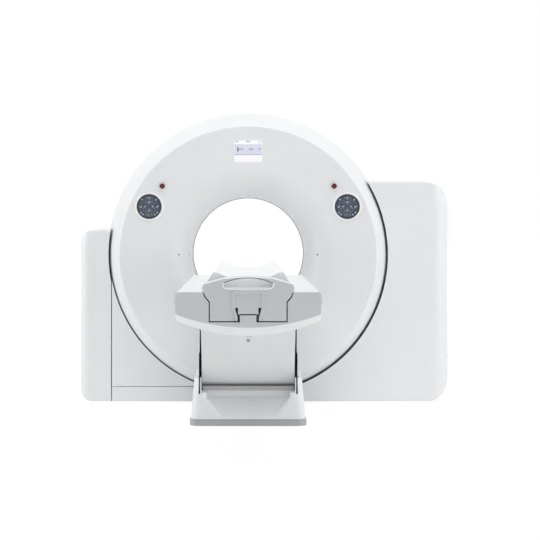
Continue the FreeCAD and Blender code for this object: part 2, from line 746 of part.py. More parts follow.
def drive_pulley():
    t, way = PULLEY_FLANGE_T, V(0, 1, 0)
    spot = on_ring(PULLEY_ANGLE, PULLEY_AT, BELT_FRONT - t)
    wheel = rod(spot, way, PULLEY_R, PULLEY_W + 2 * t)
    rim = rod(spot, way, PULLEY_FLANGE_R, t)
    far = rod(spot + way * (PULLEY_W + t), way, PULLEY_FLANGE_R, t)
    bore = rod(spot, way, MOTOR_SHAFT_R + FIT_GAP, PULLEY_W + 2 * t)
    return wheel.fuse(rim).fuse(far).cut(bore)


def belt_loop(grow):
    """Solid inside the belt's run round drum and pulley, grown outwards."""
    big, small = DRUM_R + SEAT_GAP + grow, PULLEY_R + SEAT_GAP + grow
    a = math.radians(PULLEY_ANGLE)
    lean = math.acos((big - small) / PULLEY_AT)

    def at(centre, r, angle):
        return (centre * math.cos(a) + r * math.cos(angle),
                ISO_Z + centre * math.sin(a) + r * math.sin(angle))

    return prism(
        "xz", BELT_FRONT, BELT_FRONT + PULLEY_W,
        at(0, big, a + lean),
        (at(0, big, a + math.pi), at(0, big, a - lean)),
        at(PULLEY_AT, small, a - lean),
        (at(PULLEY_AT, small, a), at(PULLEY_AT, small, a + lean)),
    )


def drive_belt():
    return belt_loop(BELT_T).cut(belt_loop(0))


# ---- rotating part ------------------------------------------------------------------
def rotor_drum():
    y1 = DRUM_Y + DRUM_T
    return turned(
        (DRUM_BORE_R, DRUM_Y), (DRUM_R - DRUM_RIM_T, DRUM_Y),
        (DRUM_R - DRUM_RIM_T, DRUM_Y - DRUM_RIM_L), (DRUM_R, DRUM_Y - DRUM_RIM_L),
        (DRUM_R, y1), (DRUM_BORE_R, y1),
    )


def slip_ring():
    """Slip ring disc with its concentric tracks."""
    y0, y1 = DRUM_Y + DRUM_T, DRUM_Y + DRUM_T + SLIP_T
    disc = ring(SLIP_IN_R, SLIP_IN_R + SLIP_W, y0, y1)
    for i in range(1, SLIP_GROOVES + 1):
        r = SLIP_IN_R + i * SLIP_W / (SLIP_GROOVES + 1)
        disc = disc.cut(ring(r - GROOVE_HALF_W, r + GROOVE_HALF_W, y1 - GROOVE_D, y1))
    return disc


def sector(r_in, r_out, angle_0, angle_1, y0, y1, centre_z=ISO_Z):
    """Arc-shaped block about an axis parallel to the gantry's."""
    def at(r, angle):
        a = math.radians(angle)
        return (r * math.cos(a), centre_z + r * math.sin(a))

    mid = (angle_0 + angle_1) / 2
    return prism("xz", y0, y1, at(r_out, angle_0), (at(r_out, mid), at(r_out, angle_1)),
                 at(r_in, angle_1), (at(r_in, mid), at(r_in, angle_0)))


def detector_array():
    low, high = -90 - DETECTOR_HALF_ANGLE, -90 + DETECTOR_HALF_ANGLE
    spot = ISO_Z + FOCUS_R
    arc = sector(DETECTOR_R, DETECTOR_R + DETECTOR_T, low, high, -DETECTOR_FRONT, DRUM_Y, spot)
    half = DETECTOR_FRONT / 2
    face = sector(DETECTOR_R - DETECTOR_WINDOW_D, DETECTOR_R + DETECTOR_WINDOW_D, low + 1, high - 1,
                  -half, half, spot)
    return arc.cut(face)


def xray_tube():
    spot = on_ring(90, FOCUS_R + TUBE_OFF, 0)
    back = V(spot.x, -TUBE_FRONT, spot.z)
    side = rod(back, V(0, 1, 0), TUBE_R, DRUM_Y + TUBE_FRONT)
    cap = rod(back - V(0, TUBE_CAP_L, 0), V(0, 1, 0), TUBE_CAP_R, TUBE_CAP_L)
    port = box(-TUBE_PORT, TUBE_PORT, -TUBE_PORT, TUBE_PORT, ISO_Z + COLLIMATOR_TOP, spot.z)
    return side.fuse(cap).fuse(port)


def collimator():
    return rounded("xz", -COLLIMATOR_FRONT, DRUM_Y, -COLLIMATOR_HALF_W, COLLIMATOR_HALF_W,
                   ISO_Z + COLLIMATOR_LOW, ISO_Z + COLLIMATOR_TOP, COLLIMATOR_CORNER)


def unit(angles, r_in=PACK_IN_R, r_out=PACK_OUT_R, front=PACK_FRONT):
    """Bolted-on unit that follows the drum's curve."""
    middle, half = angles
    return sector(r_in, r_out, middle - half, middle + half, -front, DRUM_Y)


def tube_cooler():
    """Heat exchanger with grooves between its fins."""
    core = unit((COOLER_ANGLE, COOLER_HALF_ANGLE))
    span = COOLER_HALF_ANGLE - 2 * COOLER_FIN_HALF_ANGLE
    for i in range(COOLER_FINS):
        middle = COOLER_ANGLE - span + 2 * span * i / (COOLER_FINS - 1)
        groove = sector(PACK_IN_R + COOLER_EDGE, PACK_OUT_R - COOLER_EDGE,
                        middle - COOLER_FIN_HALF_ANGLE, middle + COOLER_FIN_HALF_ANGLE,
                        -PACK_FRONT - 1, -PACK_FRONT + COOLER_GROOVE_D)
        core = core.cut(groove)
    return core


def counterweight():
    return unit((WEIGHT_ANGLE, WEIGHT_HALF_ANGLE), PACK_OUT_R - WEIGHT_T, PACK_OUT_R, WEIGHT_FRONT)


# ---- stand and covers ---------------------------------------------------------------
def base_plate():
    y, wide = PLATE_HALF_Y, COVER_HALF_Y - COVER_T
    x0, x1 = LEFT_X + LEFT_CORNER, RIGHT_X - RIGHT_CORNER
    plate = box(x0, x1, -y, y, 0, PLATE_T)
    plate = plate.fuse(box(x0, x1 - PLATE_WIDE_INSET, -wide, wide, 0, PLATE_T))
    post_x = LEFT_SEAM_X + SEAM + POST_OFF
    for side in (-1, 1):
        y0, y1 = sorted((side * wide, side * (wide - POST_D)))
        plate = plate.fuse(box(post_x, post_x + POST_W, y0, y1, PLATE_T, POST_TOP))
        for x in (-ANCHOR_X, ANCHOR_X):
            plate = plate.cut(rod(V(x, side * ANCHOR_Y, 0), V(0, 0, 1), ANCHOR_R, PLATE_T))
    return plate.removeSplitter()


def stand(side):
    """Welded box column that carries one trunnion."""
    x0, x1 = sorted((side * STAND_IN, side * TRUNNION_END))
    top, t = ISO_Z + STAND_OVER, STAND_T
    column = box(x0, x1, -STAND_HALF_Y, STAND_HALF_Y, PLATE_T, top)
    inside = box(x0 + t, x1 - t, -STAND_HALF_Y + t, STAND_HALF_Y - t, PLATE_T + t, top - t)
    hub = rod(V(x0, 0, ISO_Z), V(1, 0, 0), BEARING_R + BEARING_WALL, x1 - x0)
    hole = rod(V(x0, 0, ISO_Z), V(1, 0, 0), BEARING_R, x1 - x0)
    return column.cut(inside).fuse(hub).cut(hole)


def trunnion_bearings():
    at = V(STAND_IN, 0, ISO_Z)
    length = TRUNNION_END - STAND_IN
    outer = rod(at, V(1, 0, 0), BEARING_R, length)
    return both(outer.cut(rod(at, V(1, 0, 0), TRUNNION_R + FIT_GAP, length)))


def tilt_gearmotor():
    at, way = V(TRUNNION_END, 0, ISO_Z), V(1, 0, 0)
    x0, x1 = at.x + GEARMOTOR_IN, at.x + GEARMOTOR_IN + GEARMOTOR_W
    front, back, low, high = GEARMOTOR_FOOT
    case = rod(at, way, GEARBOX_R, GEARBOX_T)
    motor = rounded("xz", 0, GEARMOTOR_L, x0, x1, ISO_Z - GEARMOTOR_LOW, ISO_Z - GEARMOTOR_HIGH,
                    GEARMOTOR_ROUND)
    neck = box(x0, x1, -front, back, ISO_Z - low, ISO_Z - high)
    pocket = rod(at, way, TRUNNION_R + FIT_GAP, TRUNNION_GRIP + STAGE_GAP)
    return case.fuse(motor).fuse(neck).cut(pocket)


def power_unit():
    x0 = TRUNNION_END + POWER_OFF
    return rounded("xy", PLATE_T, POWER_TOP, x0, x0 + POWER_W, -POWER_HALF_Y, POWER_HALF_Y,
                   POWER_ROUND)


def side_cover_block(x_out, x_in, top, plan_r, corner_r, inset):
    """Solid of a side cover: its plan, front and side outlines crossed with each other."""
    side = 1 if x_out > x_in else -1
    x, y, z = x_out - side * inset, COVER_HALF_Y - inset, top - inset
    low = 0.0 if inset == 0 else -inset
    r, c, e = plan_r - inset, corner_r - inset, TOP_ROUND - inset
    k = 1 - math.sqrt(0.5)
    plan = prism(
        "xy", -REACH, top + REACH, (x_in, -y), (x - side * r, -y),
        ((x - side * r * k, -y + r * k), (x, -y + r)), (x, y - r),
        ((x - side * r * k, y - r * k), (x - side * r, y)), (x_in, y))
    front = prism(
        "xz", -y - REACH, y + REACH, (x_in, low), (x - side * c, low), (x - side * c, inset),
        ((x - side * c * k, inset + c * k), (x, inset + c)), (x, z - c),
        ((x - side * c * k, z - c * k), (x - side * c, z)), (x_in, z))
    x0, x1 = sorted((x_in, x_out))
    profile = prism(
        "yz", x0 - REACH, x1 + REACH, (-y, -REACH), (-y, z - e),
        ((-y + e * k, z - e * k), (-y + e, z)), (y - e, z),
        ((y - e * k, z - e * k), (y, z - e)), (y, -REACH))
    return plan.common(front).common(profile)


def side_cover(x_out, x_in, top, plan_r, corner_r):
    outer = side_cover_block(x_out, x_in, top, plan_r, corner_r, 0)
    side = 1 if x_out > x_in else -1
    inner = side_cover_block(x_out, x_in - side * REACH, top, plan_r, corner_r, COVER_T)
    ring_space = Part.makeSphere(SHELL_R + RING_GAP, ISO)
    return outer.cut(inner).cut(ring_space)


def dock_gap():
    """Notch in the front covers for the docking plate."""
    x = DOCK_HALF_W + SEAT_GAP
    return box(-x, x, -COVER_HALF_Y - REACH, 0, -REACH, TABLE_PLATE_T + SEAT_GAP)


def right_cover():
    top = ISO_Z + RIGHT_OVER
    return side_cover(RIGHT_X, 0.0, top, RIGHT_ROUND, RIGHT_CORNER).cut(dock_gap())


def left_cover():
    return side_cover(LEFT_X, LEFT_SEAM_X, ISO_Z + LEFT_OVER, LEFT_ROUND, LEFT_CORNER)


def flat_panels(x0, x1, z0, z1):
    """The same flat panel in the front plane and in the rear plane, cut round the ring."""
    space = Part.makeSphere(SHELL_R + PANEL_GAP, ISO)
    front = box(x0, x1, -COVER_HALF_Y, -COVER_HALF_Y + COVER_T, z0, z1).cut(space)
    return front, front.mirror(V(0, 0, 0), V(0, 1, 0))


def left_panels():
    x0, z0 = LEFT_SEAM_X + SEAM, PLINTH_TOP + PANEL_GAP_Z
    return Part.Compound(flat_panels(x0, -PANEL_END, z0, ISO_Z))


def plinths():
    front, rear = flat_panels(LEFT_SEAM_X + SEAM, -PANEL_GAP_Z, 0, PLINTH_TOP)
    return Part.Compound([front.cut(dock_gap()), rear])


# ---- table base ---------------------------------------------------------------------
def table_base_plate():
    """Floor plate, as wide as the foot strip's inside."""
    inside = foot_block(FOOT_T, 0, TABLE_PLATE_T)
    plate = inside.common(box(-FOOT_HALF_W, FOOT_HALF_W, TABLE_PLATE_FRONT, TABLE_PLATE_BACK,
                              0, TABLE_PLATE_T))
    for hx in (-TABLE_ANCHOR_X, TABLE_ANCHOR_X):
        for hy in (TABLE_ANCHOR_FRONT, TABLE_ANCHOR_BACK):
            plate = plate.cut(rod(V(hx, hy, 0), V(0, 0, 1), TABLE_ANCHOR_R, TABLE_PLATE_T))
    return plate


def docking_plate():
    back = -(COVER_HALF_Y - COVER_T)
    return box(-DOCK_HALF_W, DOCK_HALF_W, TABLE_PLATE_BACK, back, 0, TABLE_PLATE_T)


def foot_block(inset, z0, z1):
    x = FOOT_HALF_W - inset
    return rounded("xy", z0, z1, -x, x, BASE_FRONT + inset, FOOT_BACK - inset,
                   FOOT_CORNER - inset)


def table_foot_strip():
    low = foot_block(0, 0, FOOT_H - FOOT_BEVEL)
    top = foot_block(BASE_SETBACK, FOOT_H - FOOT_BEVEL, FOOT_H)
    dock = DOCK_HALF_W + SEAT_GAP
    gate = box(-dock, dock, FOOT_BACK - REACH, FOOT_BACK + REACH, -REACH, TABLE_PLATE_T + SEAT_GAP)
    return low.fuse(top).cut(foot_block(FOOT_T, -REACH, FOOT_H + REACH)).cut(gate)


def toe_recess(grow):
    """Space of the toe recess and of the opening for the apron between the cheeks."""
    out = BASE_FRONT - REACH
    side = prism(
        "yz", -FOOT_HALF_W, FOOT_HALF_W, (out, RAMP_LOW_Z - grow),
        (BASE_FRONT + BASE_SETBACK, RAMP_LOW_Z - grow), (RAMP_BACK + grow, RAMP_HIGH_Z - grow),
        (RAMP_BACK + grow, SHELF_Z - grow), (SHELF_BACK + grow, SHELF_Z - grow),
        (SHELF_BACK + grow, BASE_TOP + REACH), (out, BASE_TOP + REACH))
    front = prism("xz", out - REACH, SHELF_BACK + REACH, *mirrored(
        (RAMP_LOW_HALF_W + grow, RAMP_LOW_Z - grow), (RAMP_HALF_W + grow, RAMP_HIGH_Z - grow),
        (RAMP_HALF_W + grow, SHELF_Z - grow), (CHEEK_IN + grow, SHELF_Z - grow),
        (CHEEK_IN + grow, BASE_TOP + 2 * REACH)))
    return side.common(front)


def base_section(z, inset):
    """Plan of the base housing at a height: it tapers, and its front leans back."""
    up = (z - FOOT_H) / (BASE_TOP - FOOT_H)
    x = FOOT_HALF_W - BASE_SETBACK - BASE_TAPER * up - inset
    front = BASE_FRONT + BASE_SETBACK + BASE_LEAN * up + inset
    back = FOOT_BACK - BASE_SETBACK - BASE_TAPER * up - inset
    return rounded_points(-x, x, front, back, FOOT_CORNER - BASE_SETBACK - inset)


def base_block(inset, rounding):
    """Base housing, with the toe recess cut out and the recess's front edges rounded."""
    low, top = FOOT_H - inset, BASE_TOP - inset
    block = loft("xy", low, base_section(low, inset), top, base_section(top, inset))
    block = block.cut(toe_recess(inset))
    edges = [e for e in block.Edges if is_recess_edge(e, inset)]
    return block.makeFillet(rounding, edges)


def is_recess_edge(edge, inset):
    """True for the rising edges where the recess's sides meet the front of the housing."""
    low, high = sorted((edge.Vertexes[0], edge.Vertexes[-1]), key=lambda v: v.Z)
    at_side = abs(abs(high.X) - RAMP_HALF_W - inset) < SEAT_GAP
    return at_side and high.Z > low.Z + 1 and high.Y < APRON_Y


def base_well():
    """Space for the skirt: open above the shelf, and down its back and sides to the floor."""
    x = SHROUD_HALF_W + WELL_GAP
    y0, y1 = SHROUD_FRONT - WELL_FRONT_GAP, SHROUD_BACK + WELL_BACK_GAP
    top = BASE_TOP + REACH
    middle = box(-x, x, y0, y1, SHELF_Z, top)
    back = box(-x, x, y1 - WELL_BACK_L, y1, WELL_LOW, top)
    side = box(SLIT_IN, x, y0, y1, WELL_LOW, top)
    slit = box(SLIT_IN, SLIT_IN + SLIT_W, BASE_FRONT - REACH, y0 + 1, SLIT_LOW_Z, top)
    return [middle, back] + both(side).Solids + both(slit).Solids


def table_base_cover():
    """Base housing: toe recess in front, open well for the telescoping skirt."""
    cover = base_block(0, RAMP_EDGE_ROUND).cut(base_block(COVER_T, RAMP_EDGE_ROUND - COVER_T))
    for space in base_well():
        cover = cover.cut(space)
    return cover


def column_tube(half_x, half_y, wall, z0, z1):
    solids = []
    for y in (COLUMN_FRONT_Y, COLUMN_REAR_Y):
        tube = box(-half_x, half_x, y - half_y, y + half_y, z0, z1)
        inner = box(-half_x + wall, half_x - wall, y - half_y + wall, y + half_y - wall, z0, z1)
        solids.append(tube.cut(inner))
    return solids


def stage(n):
    """Stage n of both lifting columns: 0 fixed, 1 middle, 2 inner."""
    shrink = n * (COLUMN_T + STAGE_GAP)
    low = TABLE_PLATE_T if n == 0 else (
        BEAM_LOW - STAGE_L if n == 2 else TABLE_PLATE_T + STAGE_L - STAGE_LAP)
    return column_tube(COLUMN_HALF_X - shrink, COLUMN_HALF_Y - shrink, COLUMN_T, low,
                       low + STAGE_L)


def lift_drive():
    """Spindles of the two columns and the motor between them."""
    z, half_x = TABLE_PLATE_T, LIFT_MOTOR_HALF_X
    spindles = [rod(V(0, y, z), V(0, 0, 1), SCREW_R, STAGE_L - SCREW_GAP)
                for y in (COLUMN_FRONT_Y, COLUMN_REAR_Y)]
    y0 = COLUMN_FRONT_Y + COLUMN_HALF_Y + LIFT_MOTOR_GAP
    y1 = COLUMN_REAR_Y - COLUMN_HALF_Y - LIFT_MOTOR_GAP
    motor = rounded("xy", z, LIFT_MOTOR_TOP, -half_x, half_x, y0, y1, LIFT_MOTOR_ROUND)
    return Part.Compound(spindles + [motor])


def apron_curve(r_out, z_top):
    """Front and back line of the apron's side view."""
    a = math.radians(APRON_BEND_ANGLE)
    centre = APRON_Y + APRON_BEND_R

    def at(r, angle):
        return (centre - r * math.cos(angle), APRON_BEND_Z - r * math.sin(angle))

    thin = r_out - APRON_T
    return [(centre - r_out, z_top), (centre - r_out, APRON_BEND_Z),
            (at(r_out, a / 2), at(r_out, a)), at(thin, a),
            (at(thin, a / 2), (centre - thin, APRON_BEND_Z)), (centre - thin, z_top)]


def front_apron():
    """Curved sheet under the table: a little wider at its top, bent back at its foot."""
    sheet = prism("yz", -APRON_TOP_HALF_W, APRON_TOP_HALF_W,
                  *apron_curve(APRON_BEND_R, BED_SIDE_Z))
    y0, y1, low = APRON_Y - REACH, APRON_Y + APRON_BEND_R + REACH, SHELF_Z
    width = prism("xz", y0, y1, *mirrored(
        (APRON_HALF_W, low), (APRON_HALF_W, APRON_BEND_Z), (APRON_TOP_HALF_W, BED_SIDE_Z)))
    return sheet.common(width).cut(bed_block(-SEAT_GAP, 0))


def apron_bottom_bar():
    """Bar across the opening that holds the apron's lower edge."""
    a = math.radians(APRON_BEND_ANGLE)
    y0 = RAMP_BACK - BAR_FRONT
    y1 = APRON_Y + APRON_BEND_R * (1 - math.cos(a)) + BAR_BACK
    x, top = BAR_HALF_W, SHELF_Z + BAR_H
    return prism("xz", y0, y1, *mirrored((x - BAR_CHAMFER, SHELF_Z), (x, top)))


def shroud(half_w, back, z0, z1):
    """Three-sided telescoping skirt, open at the front where the apron hangs."""
    t = SHROUD_T
    outer = box(-half_w, half_w, SHROUD_FRONT, back, z0, z1)
    return outer.cut(box(-half_w + t, half_w - t, SHROUD_FRONT - t, back - t, z0, z1))


def middle_shroud():
    return shroud(SHROUD_HALF_W, SHROUD_BACK, MID_SHROUD_LOW, MID_SHROUD_TOP)


def upper_shroud():
    step = SHROUD_T + STAGE_GAP
    skirt = shroud(SHROUD_HALF_W - step, SHROUD_BACK - step, UP_SHROUD_LOW, BED_SIDE_Z)
    return skirt.cut(bed_block(-SEAT_GAP, 0))


# ---- table top ----------------------------------------------------------------------
def bed_outline(inset, side_z, belly_z):
    """Section of the table top: curved belly, rounded into upright sides."""
    drop = side_z - belly_z
    belly_r = (BED_HALF_W ** 2 + drop ** 2) / (2 * drop)
    centre_z = belly_z + belly_r
    x, r, top, e = BED_HALF_W - inset, BED_CORNER - inset, BED_TOP - inset, BED_EDGE
    corner_z = centre_z - math.sqrt((belly_r - inset - r) ** 2 - (x - r) ** 2)
    lean = math.atan2(centre_z - corner_z, x - r)

    def turn(angle):
        return (x - r + r * math.cos(angle), corner_z - r * math.sin(angle))

    k = e * (1 - math.sqrt(0.5))
    points = mirrored(turn(lean), (turn(lean / 2), turn(0)), (x, top - e),
                      ((x - k, top - k), (x - e, top)))
    return points + [((0, belly_z + inset), turn(lean))]


def bed_block(inset, front_trim):
    """Body of the table top: long section, bevelled belly in front, climbing nose behind."""
    front = BED_FRONT + END_T + front_trim
    section = bed_outline(inset, BED_SIDE_Z, BED_BELLY_Z)
    bevel = loft("xz", front, bed_outline(inset, END_SIDE_Z, END_BELLY_Z),
                 front + BEVEL_L, section)
    long = prism("xz", front + BEVEL_L, BED_BACK - inset, *section)
    run = NOSE_Z - BED_BELLY_Z + REACH
    lift = inset * math.sqrt(2)
    climb = prism(
        "yz", -2 * BED_HALF_W, 2 * BED_HALF_W, (BED_BACK + REACH, NOSE_Z + lift + REACH),
        (BED_BACK - run, NOSE_Z + lift - run), (BED_BACK + REACH, NOSE_Z + lift - run))
    return bevel.fuse(long).removeSplitter().cut(climb)


def trough_points(grow, low):
    (knee_x, knee_drop), (neck_x, neck_drop) = TROUGH_KNEE, TROUGH_NECK
    lip = TROUGH_LIP_HALF_W + grow
    return mirrored(
        (TROUGH_HALF_W + grow, low - grow), (TROUGH_HALF_W + grow, TROUGH_STEP_Z),
        (knee_x + grow, BED_TOP - knee_drop), (neck_x + grow, BED_TOP - neck_drop),
        (lip, BED_TOP), (lip, BED_TOP + REACH))


def trough_space(grow, front):
    """Space of the trough, and of the shallow channel behind it."""
    deep = prism("xz", front, TROUGH_END + grow, *trough_points(grow, TROUGH_LOW))
    x = SHALLOW_HALF_W + grow
    shallow = box(-x, x, TROUGH_END - 1, BED_BACK + REACH, SHALLOW_Z - grow, BED_TOP + REACH)
    return deep.fuse(shallow)


def table_body_cover():
    """Hollow housing of the table top, with the trough let into it."""
    front = BED_FRONT + END_T - REACH
    inside = bed_block(COVER_T, -COVER_T).cut(trough_space(TROUGH_T, front))
    shell = bed_block(0, 0).cut(inside).cut(trough_space(0, front))
    x, y0, y1 = COLUMN_HALF_X + HATCH_X, COLUMN_FRONT_Y - HATCH_Y, COLUMN_REAR_Y + HATCH_Y
    return shell.cut(box(-x, x, y0, y1, BED_BELLY_Z - REACH, TROUGH_LOW - TROUGH_T - STAGE_GAP))


def table_end_cover():
    plate = prism("xz", BED_FRONT, BED_FRONT + END_T, *bed_outline(0, END_SIDE_Z, END_BELLY_Z))
    plate = plate.makeFillet(END_ROUND, front_edges(plate, BED_FRONT))
    return plate.cut(trough_space(0, BED_FRONT - REACH))


def table_frame():
    """Two box beams on cross plates."""
    front, back, t = BED_FRONT + BEAM_SETBACK, BED_BACK - BEAM_BACK_INSET, BEAM_T
    beam = box(BEAM_IN, BEAM_OUT, front, back, BEAM_LOW, BEAM_TOP)
    beam = beam.cut(box(BEAM_IN + t, BEAM_OUT - t, front, back, BEAM_LOW + t, BEAM_TOP - t))
    left, right = both(beam).Solids
    frame = left.fuse(right)
    middle, half = 0.5 * (COLUMN_FRONT_Y + COLUMN_REAR_Y), CROSS_HALF_L
    for y, half_l in ((front + half, half), (CROSS_NEAR_Y, half), (middle, CROSS_MID_HALF_L),
                      (back - half, half)):
        frame = frame.fuse(box(-BEAM_OUT, BEAM_OUT, y - half_l, y + half_l, BEAM_LOW,
                               BEAM_LOW + CROSS_T))
    return frame.removeSplitter()


def guide_rail():
    return box(-RAIL_HALF_W, RAIL_HALF_W, BED_FRONT, TROUGH_END, TROUGH_LOW, RAIL_TOP)


def glide_strips():
    strip = box(GLIDE_IN, GLIDE_OUT, TROUGH_END + GLIDE_INSET, BED_BACK - GLIDE_INSET,
                SHALLOW_Z, CRADLE_LOW - SEAT_GAP)
    return both(strip)


def side_rails():
    x = BED_HALF_W
    rail = rounded("yz", x, x + SIDE_RAIL_T, BED_FRONT + SIDE_RAIL_INSET, SIDE_RAIL_BACK,
                   SIDE_RAIL_LOW, SIDE_RAIL_TOP, SIDE_RAIL_ROUND)
    return both(rail)


# ---- cradle -------------------------------------------------------------------------
def cradle_section():
    """Curved board with a broad, rounded rim."""
    low, r, k = CRADLE_LOW, CRADLE_RIM_ROUND, math.sqrt(0.5)
    rim_x, rim_z = CRADLE_RIM[0], BED_TOP + CRADLE_RIM[1]
    turn_x, turn_up = CRADLE_TURN
    return mirrored(
        (CRADLE_HALF_FLAT, low),
        ((turn_x, low + turn_up), (CRADLE_HALF_W, CRADLE_SIDE_Z - CRADLE_SIDE_DROP)),
        (CRADLE_HALF_W, CRADLE_SIDE_Z), (rim_x + r, rim_z - r),
        ((rim_x + r * k, rim_z - r * (1 - k)), (rim_x, rim_z)),
        (CRADLE_LIP, rim_z - CRADLE_LIP_DROP), over=(0, CRADLE_FLOOR))


def cradle():
    board = prism("xz", BED_FRONT + CAP_L, CRADLE_BACK, *cradle_section())
    r, x = CRADLE_NOSE_R, CRADLE_HALF_W + CRADLE_NOSE_OFF
    k = r * (1 - math.sqrt(0.5))
    nose = prism(
        "xy", BED_TOP, BED_TOP + 2 * CRADLE_RIM[1], (-x, BED_FRONT), (x, BED_FRONT),
        (x, CRADLE_BACK - r), ((x - k, CRADLE_BACK - k), (x - r, CRADLE_BACK)),
        (-x + r, CRADLE_BACK), ((-x + k, CRADLE_BACK - k), (-x, CRADLE_BACK - r)))
    return board.common(nose)


def carriage():
    front = BED_FRONT + CAP_L
    return box(-CARRIAGE_HALF_W, CARRIAGE_HALF_W, front, front + CARRIAGE_L,
               RAIL_TOP + SEAT_GAP, CRADLE_LOW)


def cap_outline():
    """Section of the end cap inside the trough, with a notch for the guide rail."""
    g = CAP_GAP
    (knee_x, knee_drop), (neck_x, neck_drop) = TROUGH_KNEE, TROUGH_NECK
    return mirrored(
        (RAIL_HALF_W + g, RAIL_TOP + g), (RAIL_HALF_W + g, TROUGH_LOW + g),
        (TROUGH_HALF_W - g, TROUGH_LOW + g), (TROUGH_HALF_W - g, TROUGH_STEP_Z + g / 2),
        (knee_x - g, BED_TOP - knee_drop + g / 2), (neck_x - g, BED_TOP - neck_drop),
        (TROUGH_LIP_HALF_W - g, BED_TOP))


def above_bed(*points):
    """Points given as half width and height above the table top."""
    return [(x, BED_TOP + z) for x, z in points]


def cap_hump():
    """Raised part of the end cap, the front edge of its crest rounded."""
    edge, turn, shoulder, brow = above_bed(HUMP_EDGE, HUMP_TURN, HUMP_SHOULDER, HUMP_BROW)
    hump = prism("xz", BED_FRONT, BED_FRONT + CAP_L, *mirrored(
        (TROUGH_LIP_HALF_W - CAP_GAP, BED_TOP), edge, (turn, shoulder), brow,
        over=(0, BED_TOP + HUMP_H)))
    crest = [e for e in front_edges(hump, BED_FRONT) if e.BoundBox.ZMax > shoulder[1] + 1]
    return hump.makeFillet(HUMP_ROUND, crest)


def hand_hold():
    """Scooped hand hold: its outline from the front crossed with its side section."""
    low_turn, low, tip, high_turn, high = above_bed(
        HOLD_LOW_TURN, HOLD_LOW, HOLD_TIP, HOLD_HIGH_TURN, HOLD_HIGH)
    y0, floor, roof = BED_FRONT - REACH, BED_TOP + HOLD_FLOOR, BED_TOP + HOLD_ROOF
    lens = prism("xz", y0, BED_FRONT + REACH, *mirrored(
        low, (low_turn, tip), (high_turn, high), over=(0, roof)), ((0, floor), low))
    ledge, back, deep = [(BED_FRONT + y, BED_TOP + z) for y, z in (HOLD_LEDGE, HOLD_BACK, HOLD_DEEP)]
    x = HOLD_TIP[0] + REACH
    scoop = prism("yz", -x, x, (y0, floor), (BED_FRONT, floor), ledge, (back, deep),
                  (deep[0], roof + REACH), (y0, roof + REACH))
    return lens.common(scoop)


def release_slots():
    """Slots beside the guide rail, in which the release grip's lugs swing."""
    y0, y1, low = BED_FRONT - REACH, BED_FRONT + SLOT_D, TROUGH_LOW
    neck = box(SLOT_NECK_IN, SLOT_OUT, y0, y1, low, low + SLOT_UP)
    foot = box(RAIL_HALF_W, SLOT_OUT, y0, y1, low, low + SLOT_NECK_UP)
    return both(neck.fuse(foot)).Solids


def cradle_end_cap():
    cap = prism("xz", BED_FRONT, BED_FRONT + CAP_L, *cap_outline()).fuse(cap_hump())
    cap = cap.cut(hand_hold())
    for slot in release_slots():
        cap = cap.cut(slot)
    pin = rod(V(SLOT_OUT - PIN_L, BED_FRONT + PIVOT_Y, PIVOT_Z), V(1, 0, 0), PIN_R, PIN_L + 1)
    for piece in both(pin).Solids:
        cap = cap.fuse(piece)
    return cap


def grip_outline(points, below):
    """Mirrored outline that ends in a rounded corner, run on downwards by below."""
    at = [(x, PIVOT_Z + z) for x, z in points]
    at[0] = (at[0][0], at[0][1] - below)
    return mirrored(*at[:4], (at[4], at[5]))


def release_grip():
    """U-shaped grip whose lugs hang on the pins of the end cap."""
    front = BED_FRONT - SEAT_GAP - RELEASE_T
    back = BED_FRONT - SEAT_GAP
    loop = prism("xz", front, back, *grip_outline(GRIP_OUTER, 0))
    loop = loop.cut(prism("xz", front - 1, back + 1, *grip_outline(GRIP_INNER, REACH)))
    loop = loop.makeFillet(RELEASE_ROUND, front_edges(loop, front))
    pivot_y = BED_FRONT + PIVOT_Y
    for side in (-1, 1):
        x0, x1 = sorted((side * LUG_IN, side * LUG_OUT))
        at = V(x0, pivot_y, PIVOT_Z)
        lug = box(x0, x1, back - RELEASE_T / 2, pivot_y, PIVOT_Z - LUG_R, PIVOT_Z + LUG_R)
        lug = lug.fuse(rod(at, V(1, 0, 0), LUG_R, x1 - x0))
        loop = loop.fuse(lug).cut(rod(at, V(1, 0, 0), PIN_R + FIT_GAP, x1 - x0))
    return loop


